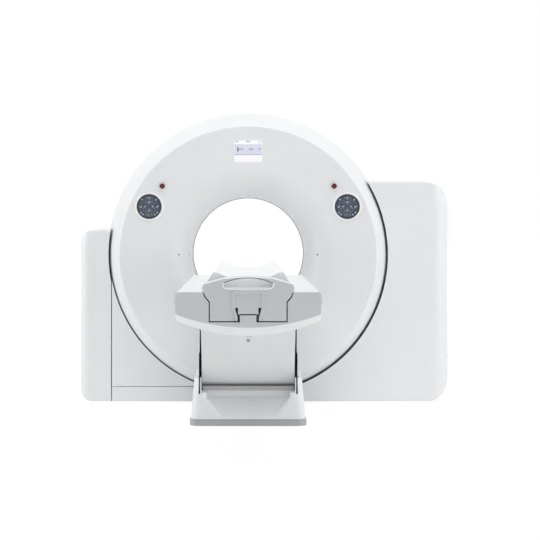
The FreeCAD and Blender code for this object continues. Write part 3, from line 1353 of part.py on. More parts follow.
# ---- all nodes ----------------------------------------------------------------------
def build():
    os.makedirs("parts", exist_ok=True)
    pads, stops = control_centres()
    race_y = (DRUM_Y + DRUM_T, FRAME_Y)
    inner_r = RACE_R - FIT_GAP
    nodes = {
        "gantry_base_plate": base_plate, "left_stand": lambda: stand(-1),
        "right_stand": lambda: stand(1), "trunnion_bearings": trunnion_bearings,
        "tilt_gearmotor": tilt_gearmotor, "power_unit": power_unit,
        "left_cover": left_cover, "right_cover": right_cover, "left_panels": left_panels,
        "plinths": plinths, "docking_plate": docking_plate,
        "tilt_frame": tilt_frame, "left_trunnion": lambda: trunnion(-1),
        "right_trunnion": lambda: trunnion(1), "front_cover": front_cover,
        "rear_cover": lambda: ring_cover(1, 0.0, REAR_BELL_R, HALF_DEPTH - REAR_BELL_R),
        "bore_liner": lambda: ring(BORE_R, BORE_R + LINER_T, -LINER_FRONT,
                                   HALF_DEPTH - REAR_BELL_R - SEAL_W),
        "rear_bore_seal": lambda: ring(BORE_R - SEAL_PROUD, BORE_R + SEAL_W,
                                       HALF_DEPTH - REAR_BELL_R - SEAL_W,
                                       HALF_DEPTH - REAR_BELL_R),
        "keypads": lambda: Part.Compound([keypad(a) for a in pads]),
        "display_panel": lambda: display_block(0, DISPLAY_T - DISPLAY_PROUD),
        "laser_windows": laser_windows,
        "control_housings": lambda: Part.Compound(
            [keypad_tray(a) for a in pads] + [stop_housing(a) for a in stops]),
        "left_stop_button": lambda: stop_button(stops[0]),
        "right_stop_button": lambda: stop_button(stops[1]),
        "bearing_outer_race": lambda: ring(RACE_R, RACE_R + RACE_T, race_y[0] + RACE_END,
                                           race_y[1]),
        "bearing_inner_race": lambda: ring(inner_r - RACE_T, inner_r, race_y[0],
                                           race_y[1] - RACE_END),
        "brush_block": brush_block, "drive_motor": drive_motor,
        "drive_pulley": drive_pulley, "drive_belt": drive_belt,
        "rotor_drum": rotor_drum, "slip_ring": slip_ring, "xray_tube": xray_tube,
        "collimator": collimator, "detector_array": detector_array,
        "hv_generators": lambda: Part.Compound([unit(a) for a in HV_ANGLES]),
        "data_units": lambda: Part.Compound([unit(a) for a in DATA_ANGLES]),
        "tube_cooler": tube_cooler, "counterweight": counterweight,
        "table_base_plate": table_base_plate, "table_foot_strip": table_foot_strip,
        "table_base_cover": table_base_cover,
        "lift_columns_outer": lambda: Part.Compound(stage(0)),
        "lift_columns_middle": lambda: Part.Compound(stage(1)),
        "lift_columns_inner": lambda: Part.Compound(stage(2)),
        "lift_drive": lift_drive, "front_apron": front_apron,
        "apron_bottom_bar": apron_bottom_bar, "middle_shroud": middle_shroud,
        "upper_shroud": upper_shroud, "table_body_cover": table_body_cover,
        "table_end_cover": table_end_cover, "table_frame": table_frame,
        "guide_rail": guide_rail, "glide_strips": glide_strips, "side_rails": side_rails,
        "cradle": cradle, "cradle_carriage": carriage, "cradle_end_cap": cradle_end_cap,
        "release_grip": release_grip,
    }
    for name, make in nodes.items():
        save(name, make())
    print(len(nodes), "nodes")


build()
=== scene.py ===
# %% [markdown]
# # A CT scanner, dressed for its picture
# The frame of this scene is a finished CAD model in metres: a tilting ring between two fixed
# covers, and a lifting table in front of it. Blender adds what CAD leaves out: finishes,
# printed marks, trim, light and a camera. Pieces could be placed by eye against the picture,
# but then nothing would follow when the model changes. So everything here is placed in the
# CAD model's own coordinates, and its sizes are written in millimetres, as on a drawing.

# %% Load the CAD model and measure it
import bpy
import bmesh
import math
from mathutils import Matrix, Vector


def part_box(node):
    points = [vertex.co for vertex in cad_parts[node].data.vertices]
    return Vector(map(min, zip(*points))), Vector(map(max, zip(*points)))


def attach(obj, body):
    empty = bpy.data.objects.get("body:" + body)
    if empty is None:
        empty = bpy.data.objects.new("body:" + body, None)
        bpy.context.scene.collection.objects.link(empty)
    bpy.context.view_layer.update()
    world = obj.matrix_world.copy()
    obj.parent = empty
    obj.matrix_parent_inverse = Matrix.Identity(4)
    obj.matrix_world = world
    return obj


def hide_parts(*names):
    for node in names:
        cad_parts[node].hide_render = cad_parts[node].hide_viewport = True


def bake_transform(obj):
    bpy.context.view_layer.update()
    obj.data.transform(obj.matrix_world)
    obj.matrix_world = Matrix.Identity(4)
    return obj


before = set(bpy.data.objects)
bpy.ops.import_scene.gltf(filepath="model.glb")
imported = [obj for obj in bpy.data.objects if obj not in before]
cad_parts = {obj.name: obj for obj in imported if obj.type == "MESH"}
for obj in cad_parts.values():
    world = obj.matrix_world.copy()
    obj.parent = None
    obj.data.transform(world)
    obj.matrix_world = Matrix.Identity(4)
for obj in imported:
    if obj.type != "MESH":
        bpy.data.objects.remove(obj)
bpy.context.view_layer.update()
bpy.context.scene.view_settings.view_transform = "Standard"
MM = 0.001


def rounded(corners):
    """Two corners in metres, short enough to print."""
    return [[round(v, 3) for v in corner] for corner in corners]


# %% [markdown]
# ## The camera
# The photograph looks level along the patient axis from about nine metres away: the table's
# sides converge towards the bore, while every upright stays upright. A long lens gives that
# view, and a small shift puts the scanner where the photograph has it. Turning the camera
# could do that too, but then the uprights would lean.

# %% Camera
FRAME_PX = 540                  # the photograph is square
FOCAL_PX = 1456.3               # from how the table's edges converge
AXIS_PX = (248.2, 224.0)        # where the camera's axis meets the photograph
SENSOR_MM = 36.0
EYE = (0.0, -9.0, 1.07)         # metres: on the patient axis, a little above the bore's middle
camera_data = bpy.data.cameras.new("camera")
camera_data.sensor_width = SENSOR_MM
camera_data.lens = FOCAL_PX * SENSOR_MM / FRAME_PX
camera_data.shift_x = (FRAME_PX / 2 - AXIS_PX[0]) / FRAME_PX
camera_data.shift_y = -(FRAME_PX / 2 - AXIS_PX[1]) / FRAME_PX
camera_data.clip_end = 200.0
camera = bpy.data.objects.new("camera", camera_data)
camera.location = EYE
camera.rotation_euler = (math.radians(90), 0.0, 0.0)
bpy.context.scene.collection.objects.link(camera)
bpy.context.scene.camera = camera
print("lens", round(camera_data.lens, 1), "mm")

# %% [markdown]
# ## Colours and nodes
# Colours are written the way a painter's chart or a web page gives them, as sRGB hex values.
# Blender's shaders calculate in linear light, so one function converts them. A node tree can
# be clicked together. Here one small function adds a node with its settings and its links,
# so that each material reads as a list of what happens to the surface.

# %% Colour and node helpers
def linear(code):
    """sRGB hex colour to linear RGBA for the shaders, by the sRGB standard's own numbers."""
    parts = [int(code[i:i + 2], 16) / 255 for i in (1, 3, 5)]
    flat = [c / 12.92 if c <= 0.04045 else ((c + 0.055) / 1.055) ** 2.4 for c in parts]
    return (*flat, 1.0)


def add_node(tree, kind, inputs=(), **settings):
    """Adds a node: settings first, then its inputs, linked where the value is a socket."""
    new = tree.nodes.new(kind)
    for name, value in settings.items():
        setattr(new, name, value)
    for name, value in dict(inputs).items():
        if isinstance(value, bpy.types.NodeSocket):
            tree.links.new(value, new.inputs[name])
        else:
            new.inputs[name].default_value = value
    return new


def empty_tree(owner):
    """Node tree of a material or world, with nothing in it yet."""
    owner.use_nodes = True
    owner.node_tree.nodes.clear()
    return owner.node_tree


print("white", [round(c, 3) for c in linear("#ffffff")])

# %% [markdown]
# ## The room
# The photograph is a catalogue picture, taken in a white room. A picture of a studio could
# light it, but two numbers are enough: the room is dimmer in front and behind than at the
# sides, which keeps the ring's face a shade darker than its rim. For the camera alone the
# world is plain white, so the background adds no light to the scanner.

# %% World
ROOM_LIGHT = 0.50               # brightness of the room at the sides, above and below
FRONT_FALL = 0.60               # share of it missing in front and behind


def seen_directly(tree):
    """1 for camera, mirror and see-through rays, 0 for light on its way to a surface."""
    rays = add_node(tree, "ShaderNodeLightPath").outputs
    first = add_node(tree, "ShaderNodeMath", {0: rays["Is Camera Ray"], 1: rays["Is Glossy Ray"]},
                     operation="MAXIMUM")
    both = add_node(tree, "ShaderNodeMath", {0: first.outputs[0], 1: rays["Is Transmission Ray"]},
                    operation="MAXIMUM")
    return both.outputs[0]


world = bpy.data.worlds.new("studio")
bpy.context.scene.world = world
tree = empty_tree(world)
around = add_node(tree, "ShaderNodeTexCoord").outputs["Generated"]
depth = add_node(tree, "ShaderNodeSeparateXYZ", {0: around}).outputs["Y"]
frontal = add_node(tree, "ShaderNodeMath", {0: depth, 1: depth}, operation="MULTIPLY")
room = add_node(tree, "ShaderNodeMapRange", {
    "Value": frontal.outputs[0], "To Min": ROOM_LIGHT, "To Max": ROOM_LIGHT * (1 - FRONT_FALL)})
strength = add_node(tree, "ShaderNodeMapRange", {
    "Value": seen_directly(tree), "To Min": room.outputs["Result"], "To Max": 1.0})
sky = add_node(tree, "ShaderNodeBackground", {
    "Color": linear("#ffffff"), "Strength": strength.outputs["Result"]})
add_node(tree, "ShaderNodeOutputWorld", {"Surface": sky.outputs[0]})
print("room", ROOM_LIGHT, "falling to", round(ROOM_LIGHT * (1 - FRONT_FALL), 2))

# %% [markdown]
# ## The lamps
# A big soft box over the scanner whitens everything that faces up, two more brighten the rim
# at the left and right, and a long low strip behind the camera fills the front of the base.
# Small lamps or a sun would give hard shadows, which the photograph doesn't have. Large
# rectangles give soft ones, and long highlights that show the covers' curves.

# %% Lamps
LAMPS = (       # name, place and aim in metres, width, height, watts
    ("ceiling", (0.0, -2.0, 7.0), (0.0, -2.0, 0.0), 8.0, 7.0, 264),
    ("right_side", (6.0, -2.2, 2.0), (0.0, -0.4, 0.8), 3.0, 3.0, 85),
    ("left_side", (-6.0, -1.2, 2.0), (0.0, -0.4, 0.8), 3.0, 3.0, 90),
    ("front_strip", (1.5, -10.0, 0.5), (0.0, -0.4, 0.5), 10.0, 0.8, 74),
)
for name, place, aim, width, height, watts in LAMPS:
    lamp = bpy.data.lights.new(name, "AREA")
    lamp.shape, lamp.size, lamp.size_y, lamp.energy = "RECTANGLE", width, height, watts
    lamp_object = bpy.data.objects.new(name, lamp)
    lamp_object.location = place
    turn = (Vector(aim) - Vector(place)).to_track_quat("-Z", "Y")
    lamp_object.rotation_euler = turn.to_euler()
    bpy.context.scene.collection.objects.link(lamp_object)
print("lamps", [row[0] for row in LAMPS])

# %% [markdown]
# ## The floor
# The scanner stands on a white paper sweep. A bent sheet could be modelled, but a flat floor
# is enough if it fades to white with distance. As with the world, the camera sees it nearly
# white, while it gives the scanner little light. Near the base it stays matt enough to show
# the soft shadow.

# %% Floor
FLOOR_HALF = 60                 # metres
FLOOR_SEEN = 0.74               # share of glow that the camera sees at the scanner's foot
FLOOR_GLOW = 0.10               # and the share that lights the scanner
SWEEP_NEAR, SWEEP_FAR = 2.5, 9.0        # metres: where the fade starts and ends
PAPER_GLOW = 1.12


def add_piece(name, mesh, body=None):
    """Puts a finished mesh into the scene and lets it ride on a body."""
    piece = bpy.data.objects.new(name, mesh)
    bpy.context.scene.collection.objects.link(piece)
    if body:
        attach(piece, body)
    return piece


floor_mesh = bpy.data.meshes.new("floor")
corners = [(x * FLOOR_HALF, y * FLOOR_HALF, 0) for x, y in ((-1, -1), (1, -1), (1, 1), (-1, 1))]
floor_mesh.from_pydata(corners, [], [(0, 1, 2, 3)])
floor = add_piece("floor", floor_mesh)
floor_paint = bpy.data.materials.new("studio_floor")
tree = empty_tree(floor_paint)
spot = add_node(tree, "ShaderNodeTexCoord").outputs["Object"]
reach = add_node(tree, "ShaderNodeVectorMath", {0: spot}, operation="LENGTH")
sweep = add_node(tree, "ShaderNodeMapRange", {
    "Value": reach.outputs["Value"], "From Min": SWEEP_NEAR, "From Max": SWEEP_FAR,
    "To Min": FLOOR_SEEN, "To Max": 1.0})
share = add_node(tree, "ShaderNodeMapRange", {
    "Value": seen_directly(tree), "To Min": FLOOR_GLOW, "To Max": sweep.outputs["Result"]})
matt = add_node(tree, "ShaderNodeBsdfDiffuse", {"Color": linear("#f2f2f2")})
glow = add_node(tree, "ShaderNodeEmission", {"Color": linear("#ffffff"), "Strength": PAPER_GLOW})
mix = add_node(tree, "ShaderNodeMixShader", {
    0: share.outputs["Result"], 1: matt.outputs[0], 2: glow.outputs[0]})
add_node(tree, "ShaderNodeOutputMaterial", {"Surface": mix.outputs[0]})
floor_mesh.materials.append(floor_paint)
print("floor", 2 * FLOOR_HALF, "m wide")

# %% [markdown]
# ## How a painted or moulded surface is made
# The big covers are polyurethane mouldings with a sprayed satin paint. Sprayed paint never
# lies perfectly flat: it has an orange peel a few millimetres wide and a few hundredths of a
# millimetre deep, and its gloss wanders a little. Moulded plastic has the etched grain of
# its tool instead. All this is faint, but without it a large white surface looks like a
# diagram. Photographs could be wrapped round the model, but noise has no seams, and its scale
# comes straight from a size in millimetres. Paints and plastics have an IOR near 1.5, which
# is the shader's own value, so only colour, gloss and grain differ.

# %% Recipe for non-metals
MIX_A, MIX_B, MIX_OUT = 6, 7, 2         # colour sockets of the Mix node


def new_material(name):
    """Empty material: its tree, its shader and a coordinate in metres."""
    material = bpy.data.materials.new(name)
    tree = empty_tree(material)
    shader = add_node(tree, "ShaderNodeBsdfPrincipled")
    add_node(tree, "ShaderNodeOutputMaterial", {"Surface": shader.outputs["BSDF"]})
    place = add_node(tree, "ShaderNodeTexCoord").outputs["Object"]
    return material, tree, shader, place


def surface(tree, shader, noises, tones, roughness, wander, depth_mm):
    """Lets one noise blend two tones, one drive the roughness and one raise a faint bump."""
    tone_noise, gloss_noise, relief_noise = noises
    tone = add_node(tree, "ShaderNodeMix", {
        "Factor": tone_noise, MIX_A: linear(tones[0]), MIX_B: linear(tones[1])}, data_type="RGBA")
    tree.links.new(tone.outputs[MIX_OUT], shader.inputs["Base Color"])
    rough = add_node(tree, "ShaderNodeMapRange", {
        "Value": gloss_noise, "To Min": roughness - wander, "To Max": roughness + wander})
    tree.links.new(rough.outputs["Result"], shader.inputs["Roughness"])
    bump = add_node(tree, "ShaderNodeBump", {"Height": relief_noise, "Distance": depth_mm * MM})
    tree.links.new(bump.outputs["Normal"], shader.inputs["Normal"])


GLOSS_FINER = 2.3       # gloss wanders in patches this many times smaller


def moulded(name, colour, shade, roughness, grain_mm, depth_mm, patch_mm=160.0, wander=0.05):
    """Non-metal finish: two close tones in soft patches, wandering gloss, fine grain."""
    material, tree, shader, place = new_material(name)
    noises = []
    for blob_mm, detail in ((patch_mm, 3.0), (patch_mm / GLOSS_FINER, 2.0), (grain_mm, 2.0)):
        noises.append(add_node(tree, "ShaderNodeTexNoise", {
            "Vector": place, "Scale": 1 / (blob_mm * MM), "Detail": detail}).outputs["Fac"])
    surface(tree, shader, noises, (colour, shade), roughness, wander, depth_mm)
    return material


print("gloss patches", GLOSS_FINER, "times finer")

# %% [markdown]
# ## The scanner's paints, plastics and rubbers
# Each line is one real finish: its name, two close tones, its roughness, then the width and
# the depth of its grain and the size of its patches, in millimetres. One pixel of the picture
# covers four to six. A moulded grain is 0.1 to 0.3 mm wide, far too fine to show, so it is
# drawn several times coarser, and the soft patches carry the look from a distance. Orange
# peel and the waves of the laminate are at their real width.

# %% Paints, plastics and rubbers
# Satin two-pack paint, sprayed: clean cool white, broad soft highlights.
cover_paint = moulded("satin_cover_paint", "#f2f4f5", "#edeff1", 0.42, 5.0, 0.012)
# ABS, moulded in an etched tool: an even light grey, the same from all sides.
end_grey = moulded("grey_abs_end_cover", "#d6d7da", "#d0d1d4", 0.40, 1.2, 0.010, patch_mm=90)
# A duller grey, darker than the cover paint: painted shade of the table's shadow on the foot
# strip and on the apron's bottom bar.
foot_shade_grey = moulded("grey_foot_painted_shade", "#bbbcbe", "#b3b4b6", 0.55, 1.5, 0.02, patch_mm=70)
# Gelcoat over a carbon laminate, laid in a mould: the whitest piece, with long faint waves.
cradle_skin = moulded("cradle_gelcoat", "#f8f9f9", "#f4f5f6", 0.48, 60.0, 0.008)
# Vinyl-coated polyester fabric, calendered: a soft sheen and no sharp highlight.
apron_sheet = moulded("apron_vinyl", "#f0f1f1", "#ebecec", 0.5, 0.8, 0.015, patch_mm=60)
# Polyester film, printed from behind: blue grey under a fine velvet texture.
keypad_film = moulded("keypad_polyester_film", "#3f4959", "#374151", 0.36, 0.9, 0.01, patch_mm=30)
# Hard-coated display film: nearly white and smooth, so that it reflects like glass.
display_film = moulded("display_film", "#fafafb", "#f5f5f8", 0.22, 3.0, 0.004, patch_mm=60)
# Tinted acrylic, cast and polished: almost black, with a hint of the red light behind it.
dark_window = moulded("laser_window_acrylic", "#2b1f22", "#241b1e", 0.12, 6.0, 0.002, patch_mm=10,
                      wander=0.03)
# Black polyethylene, planed: the waxy strips on which the cradle slides.
glide_plastic = moulded("black_glide_polyethylene", "#262628", "#1f1f21", 0.45, 1.0, 0.01,
                        patch_mm=20)
# ABS, dyed through and moulded: a deep signal red without gloss.
stop_red = moulded("stop_button_abs", "#66020f", "#58010c", 0.6, 2.5, 0.006, patch_mm=8)
# EPDM rubber, extruded: black with a chalky bloom. The same black is painted shade in the rear
# vent slots and in the release grip's slots.
black_rubber_and_shade = moulded("black_epdm_rubber_and_painted_shade", "#1b1b1c", "#151516", 0.7, 0.8, 0.03, patch_mm=25)
# Powder coat, baked on steel: mid grey with a fine pebbled skin, at its real width.
frame_coat = moulded("grey_powder_coat", "#6f7478", "#666b70", 0.5, 1.4, 0.04, patch_mm=110)
# The same coat in light grey, on the boxes of the electrical units.
unit_coat = moulded("light_grey_powder_coat", "#9da2a6", "#94999e", 0.45, 1.4, 0.04, patch_mm=80)
# Stove enamel on the tube's housing: warm, smooth and glossy.
tube_enamel = moulded("cream_enamel", "#d9d8d2", "#d0cfc8", 0.3, 4.0, 0.02, patch_mm=60)
print("finishes", len(bpy.data.materials))

# %% [markdown]
# ## Metals
# Turned and milled parts keep the marks of their cutters: fine grooves that stretch the
# highlights. The shader's anisotropy could stretch them too, but it needs a direction at
# each point. A noise that is long one way and short the other gives the marks themselves.
# Real ones are 0.1 to 0.3 mm apart, too fine for the picture, so they are drawn about ten
# times coarser. Metals keep the shader's own IOR, and their colour sits in the base colour.

# %% Machined metals
MARK_GLOSS = 0.08       # how far the tool marks move the roughness


def machined(name, colour, shade, roughness, groove_mm, along_mm, depth_mm=0.01):
    """Metal with tool marks: one stretched noise drives tone, roughness and a faint bump."""
    material, tree, shader, place = new_material(name)
    shader.inputs["Metallic"].default_value = 1.0
    fine, long = 1 / (groove_mm * MM), 1 / (along_mm * MM)
    stretch = add_node(tree, "ShaderNodeMapping", {"Vector": place, "Scale": (fine, long, fine)})
    marks = add_node(tree, "ShaderNodeTexNoise", {
        "Vector": stretch.outputs["Vector"], "Scale": 1.0, "Detail": 3.0}).outputs["Fac"]
    surface(tree, shader, (marks, marks, marks), (colour, shade), roughness, MARK_GLOSS, depth_mm)
    return material


# Hardened steel, ground: cold, bright and almost a mirror along the grooves.
bearing_steel = machined("ground_bearing_steel", "#b9bbbd", "#a5a7aa", 0.28, 3.0, 30.0)
# Aluminium, milled: paler and softer than steel.
milled_alloy = machined("milled_aluminium", "#cfd1d3", "#bfc1c4", 0.4, 4.0, 60.0)
# Brass, turned: the warm yellow of the contact rings.
slip_brass = machined("slip_ring_brass", "#cba35a", "#b98f48", 0.25, 2.0, 20.0)
print("metals", [m.name for m in (bearing_steel, milled_alloy, slip_brass)])

# %% [markdown]
# ## Which node wears which finish
# A CAD node whose form is right stays in the picture and only gets its finish, in its
# material slots. That could be done one node at a time, but a table that names each finish
# once, with the nodes that wear it, is shorter, and shows at once what is missing.

# %% Finishes of the CAD nodes
worn = {
    cover_paint: ["front_cover", "rear_cover", "bore_liner", "left_cover", "right_cover",
                  "left_panels", "plinths", "table_body_cover", "table_base_cover",
                  "middle_shroud", "upper_shroud"],
    end_grey: ["table_end_cover", "cradle_end_cap", "release_grip", "guide_rail", "side_rails"],
    foot_shade_grey: ["table_foot_strip", "apron_bottom_bar"],
    cradle_skin: ["cradle"],
    apron_sheet: ["front_apron"],
    keypad_film: ["keypads"],
    display_film: ["display_panel"],
    dark_window: ["laser_windows"],
    glide_plastic: ["glide_strips"],
    stop_red: ["left_stop_button", "right_stop_button"],
    black_rubber_and_shade: ["rear_bore_seal", "drive_belt"],
    frame_coat: ["gantry_base_plate", "left_stand", "right_stand", "tilt_frame", "table_frame",
                 "table_base_plate", "docking_plate", "counterweight"],
    unit_coat: ["tilt_gearmotor", "power_unit", "hv_generators", "data_units", "detector_array",
                "brush_block", "drive_motor", "lift_drive", "control_housings"],
    tube_enamel: ["xray_tube", "collimator"],
    bearing_steel: ["left_trunnion", "right_trunnion", "trunnion_bearings", "bearing_outer_race",
                    "bearing_inner_race", "drive_pulley"],
    milled_alloy: ["rotor_drum", "lift_columns_outer", "lift_columns_middle",
                     "lift_columns_inner", "cradle_carriage", "tube_cooler"],
    slip_brass: ["slip_ring"],
}
for finish, names in worn.items():
    for name in names:
        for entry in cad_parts[name].material_slots:
            entry.material = finish
bare = set(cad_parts) - {name for names in worn.values() for name in names}
print("nodes without a finish:", sorted(bare))

# %% [markdown]
# ## Drawing printed marks
# A keypad is a printed film on a flat carrier, and each mark on it is a layer of ink. An
# image could carry the marks, but it would blur in a close view. So each mark is an outline
# drawn in millimetres, right and up from the middle of its face. A few shapes are enough: a
# bar with round ends, a curved band, a square on its corner and a path with soft corners.

# %% Outlines for marks
def bar(x, y, length, width, angle=0.0, steps=6):
    """Bar with round ends about (x, y), turned by an angle in degrees."""
    radius, half, turn = width / 2, (length - width) / 2, math.radians(angle)
    points = []
    for end in (1, -1):
        for i in range(steps + 1):
            a = math.pi * (i / steps - 0.5 * end)
            points.append((end * half + radius * math.cos(a), radius * math.sin(a)))
    c, s = math.cos(turn), math.sin(turn)
    return [(x + u * c - v * s, y + u * s + v * c) for u, v in points]


def arch(x, y, radius, width, start, end, steps=24):
    """Curved band about (x, y), between two angles in degrees."""
    turns = [math.radians(start + (end - start) * i / steps) for i in range(steps + 1)]
    big, small = radius + width / 2, radius - width / 2
    outer = [(x + big * math.cos(a), y + big * math.sin(a)) for a in turns]
    inner = [(x + small * math.cos(a), y + small * math.sin(a)) for a in turns]
    return outer + inner[::-1]


def diamond(x, y, half, width):
    """Outline of a square that stands on its corner, made of four bars."""
    length = half * math.sqrt(2) + width
    return [bar(x + sx * half / 2, y + sy * half / 2, length, width, -45 * sx * sy)
            for sx in (-1, 1) for sy in (-1, 1)]


def rounded_path(points, rounds=3):
    """Cuts the corners of an open path again and again, which rounds them."""
    for _ in range(rounds):
        cut = [points[0]]
        for (ax, ay), (bx, by) in zip(points, points[1:]):
            cut.append((0.75 * ax + 0.25 * bx, 0.75 * ay + 0.25 * by))
            cut.append((0.25 * ax + 0.75 * bx, 0.25 * ay + 0.75 * by))
        points = cut + [points[-1]]
    return points


print("points in a bar:", len(bar(0, 0, 10, 4)))

# %% [markdown]
# ## Laying marks on a face
# An outline has to lie on a face that may lean. The place could be typed in, but then a mark
# would float or sink as soon as the model changes. So it is read from the CAD node's own
# outermost flat face that looks forwards or backwards. The outline becomes a thin slab there,
# because ink and trim have an edge that catches light.

# %% Faces and slabs
SQUARE_ON = 0.9         # least share of a face's normal that points forwards or backwards
SAME_LEVEL_MM = 0.1


def flat_plane(node, side=0, facing=-1):
    """Matrix from a drawing (right, up, out) to a node's outermost flat front or back face."""
    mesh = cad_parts[node].data
    faces = [p for p in mesh.polygons
             if p.normal.y * facing > SQUARE_ON and p.center.x * side >= 0]
    out = sum((p.normal * p.area for p in faces), Vector()).normalized()
    level = max(p.center.dot(out) for p in faces)
    faces = [p for p in faces if level - p.center.dot(out) < SAME_LEVEL_MM * MM]
    right = (Vector((-facing, 0, 0)) + out * out.x * facing).normalized()
    up = out.cross(right)
    corners = [mesh.vertices[i].co for p in faces for i in p.vertices]
    centre = out * level
    for axis in (right, up):
        reach = [c.dot(axis) for c in corners]
        centre += axis * (min(reach) + max(reach)) / 2
    plane = Matrix((right, up, out)).transposed().to_4x4()
    plane.translation = centre
    return plane


def as_mesh(name, shape, material):
    """Turns a finished bmesh into a mesh that wears a material."""
    mesh = bpy.data.meshes.new(name)
    shape.to_mesh(mesh)
    shape.free()
    mesh.materials.append(material)
    return mesh


def as_piece(name, shape, material, body=None, smooth=False):
    """Turns a bmesh of new faces into an object that rides on a body."""
    bmesh.ops.recalc_face_normals(shape, faces=shape.faces)
    mesh = as_mesh(name, shape, material)
    if smooth:
        mesh.shade_smooth()
    return add_piece(name, mesh, body)


def stamp(name, plane, outlines, thickness, material, body):
    """Lays flat outlines (mm) on a plane as thin slabs, as one piece that rides on a body."""
    shape = bmesh.new()
    for outline in outlines:
        low = [shape.verts.new(plane @ Vector((u * MM, v * MM, 0.0))) for u, v in outline]
        top = [shape.verts.new(plane @ Vector((u * MM, v * MM, thickness * MM)))
               for u, v in outline]
        shape.faces.new(top)
        for i in range(len(outline)):
            j = (i + 1) % len(outline)
            shape.faces.new((low[i], low[j], top[j], top[i]))
    return as_piece(name, shape, material, body)


pad_planes = {"left": flat_plane("keypads", -1), "right": flat_plane("keypads", 1)}
print("keypads at", {label: rounded([p.translation]) for label, p in pad_planes.items()})

# %% [markdown]
# ## Beads and lips
# A half-round bead runs round each keypad, round the grip and under the hand hold. A curve
# with a bevel could draw it, but that gives a full tube, half of it buried in the cover. Here
# half an ellipse is swept along a path on the plane: its roundness turns the ceiling light
# into a thin bright line.

# %% Swept beads
def ridge(name, plane, paths, width, height, material, body, closed=False, across=10):
    """Half-round beads of a width and height (mm) along paths drawn on a plane."""
    shape = bmesh.new()
    for path in paths:
        rows, count = [], len(path)
        for i, (u, v) in enumerate(path):
            after = path[(i + 1) % count if closed else min(i + 1, count - 1)]
            before = path[i - 1 if closed or i else 0]
            along = Vector((after[0] - before[0], after[1] - before[1])).normalized()
            row = []
            for k in range(across + 1):
                a = math.pi * k / across
                side = 0.5 * width * math.cos(a)
                spot = Vector((u - along.y * side, v + along.x * side, height * math.sin(a)))
                row.append(shape.verts.new(plane @ (spot * MM)))
            rows.append(row)
        for i in range(count if closed else count - 1):
            near, far = rows[i], rows[(i + 1) % count]
            for k in range(across):
                shape.faces.new((near[k], far[k], far[k + 1], near[k + 1]))
        if not closed:
            shape.faces.new(rows[0])
            shape.faces.new(rows[-1][::-1])
    return as_piece(name, shape, material, body, smooth=True)


print("bead recipe ready")

# %% [markdown]
# ## Inks and small plastics
# Printing ink lies about a tenth of a millimetre thick and is slightly uneven. Its mottle is
# finer than a pixel, like the grain of the small mouldings, so both are drawn coarser than
# real, with patches of a few millimetres.

# %% Inks and trim
INK = 0.12              # thickness of one layer of ink, in mm


def printed(name, colour, shade):
    """Screen-printed ink: matt, with a faint mottle."""
    return moulded(name, colour, shade, 0.45, 0.4, 0.004, patch_mm=6)


# Three inks on the keypads: pale for the keys' symbols, grey for their arches, and slate,
# hardly lighter than the film, for the outlines of the groups.
white_ink = printed("white_symbol_ink", "#cdd3df", "#c3cad7")
grey_ink = printed("grey_symbol_ink", "#8791a1", "#7d8797")
slate_ink = printed("slate_outline_ink", "#667286", "#5e6a7e")
# Near-black ring round each keypad's edge: painted shade, where the white rim shades the sunken
# pad.
pad_edge_shade = moulded("keypad_edge_painted_shade", "#262c36", "#20262f", 0.4, 0.9, 0.01, patch_mm=20)
# Dark grey of the narrow joint at the rear bell seam, and painted shade in the fasteners' key
# slots and along the hand hold's upper edge.
joint_and_shade_grey = moulded("grey_seam_shadow", "#5a5c5f", "#525457", 0.6, 1.0, 0.01, patch_mm=20)
# Pale ABS, moulded: a lighter line round the grip.
grip_abs = moulded("pale_grip_abs", "#d4d6d8", "#cecfd1", 0.35, 1.2, 0.008, patch_mm=40)
# Pure white, glossy enough for a narrow highlight, and whiter than the cover paint: on the
# keypads' white rims it adds a painted highlight, on the cap's crest and the hand hold's lip it
# is a painted highlight, and in the hand hold's scoop it is painted light.
highlight_white = moulded("white_painted_highlight", "#fdfefe", "#fafbfb", 0.30, 4.0, 0.003, patch_mm=30)
print("inks and trim", [m.name for m in (white_ink, grey_ink, slate_ink, grip_abs, highlight_white)])

# %% [markdown]
# ## The two keypads
# Each keypad moves the table and tilts the ring, so its keys lie in a cross, like the
# movements they start: pairs of keys above, below and at both sides, and smaller keys in the
# corners. At the size of the picture a symbol is one or two pixels, so it could be left as a
# dot. Bars and arches that lean as the symbols do keep the keypad's busy look. Both keypads
# are the same bought part, so one loop prints both.

# %% Keypad symbols and rims
KEY_STEP = 36.0                 # from the keypad's middle to the middle of a group of keys
GROUP_HALF = 26.0
PAD_R, EDGE_W, EDGE_INSET = 76.0, 11.0, 6.5
LIP_MID, LIP_UP, LIP_W, LIP_H, LIP_STEPS = 79.8, 3.4, 11.5, 8.0, 96
ARCH_W, LOW_ARCH_W, FINE_W = 3.4, 3.0, 2.8
QUARTERS = (0, 90, 180, 270)

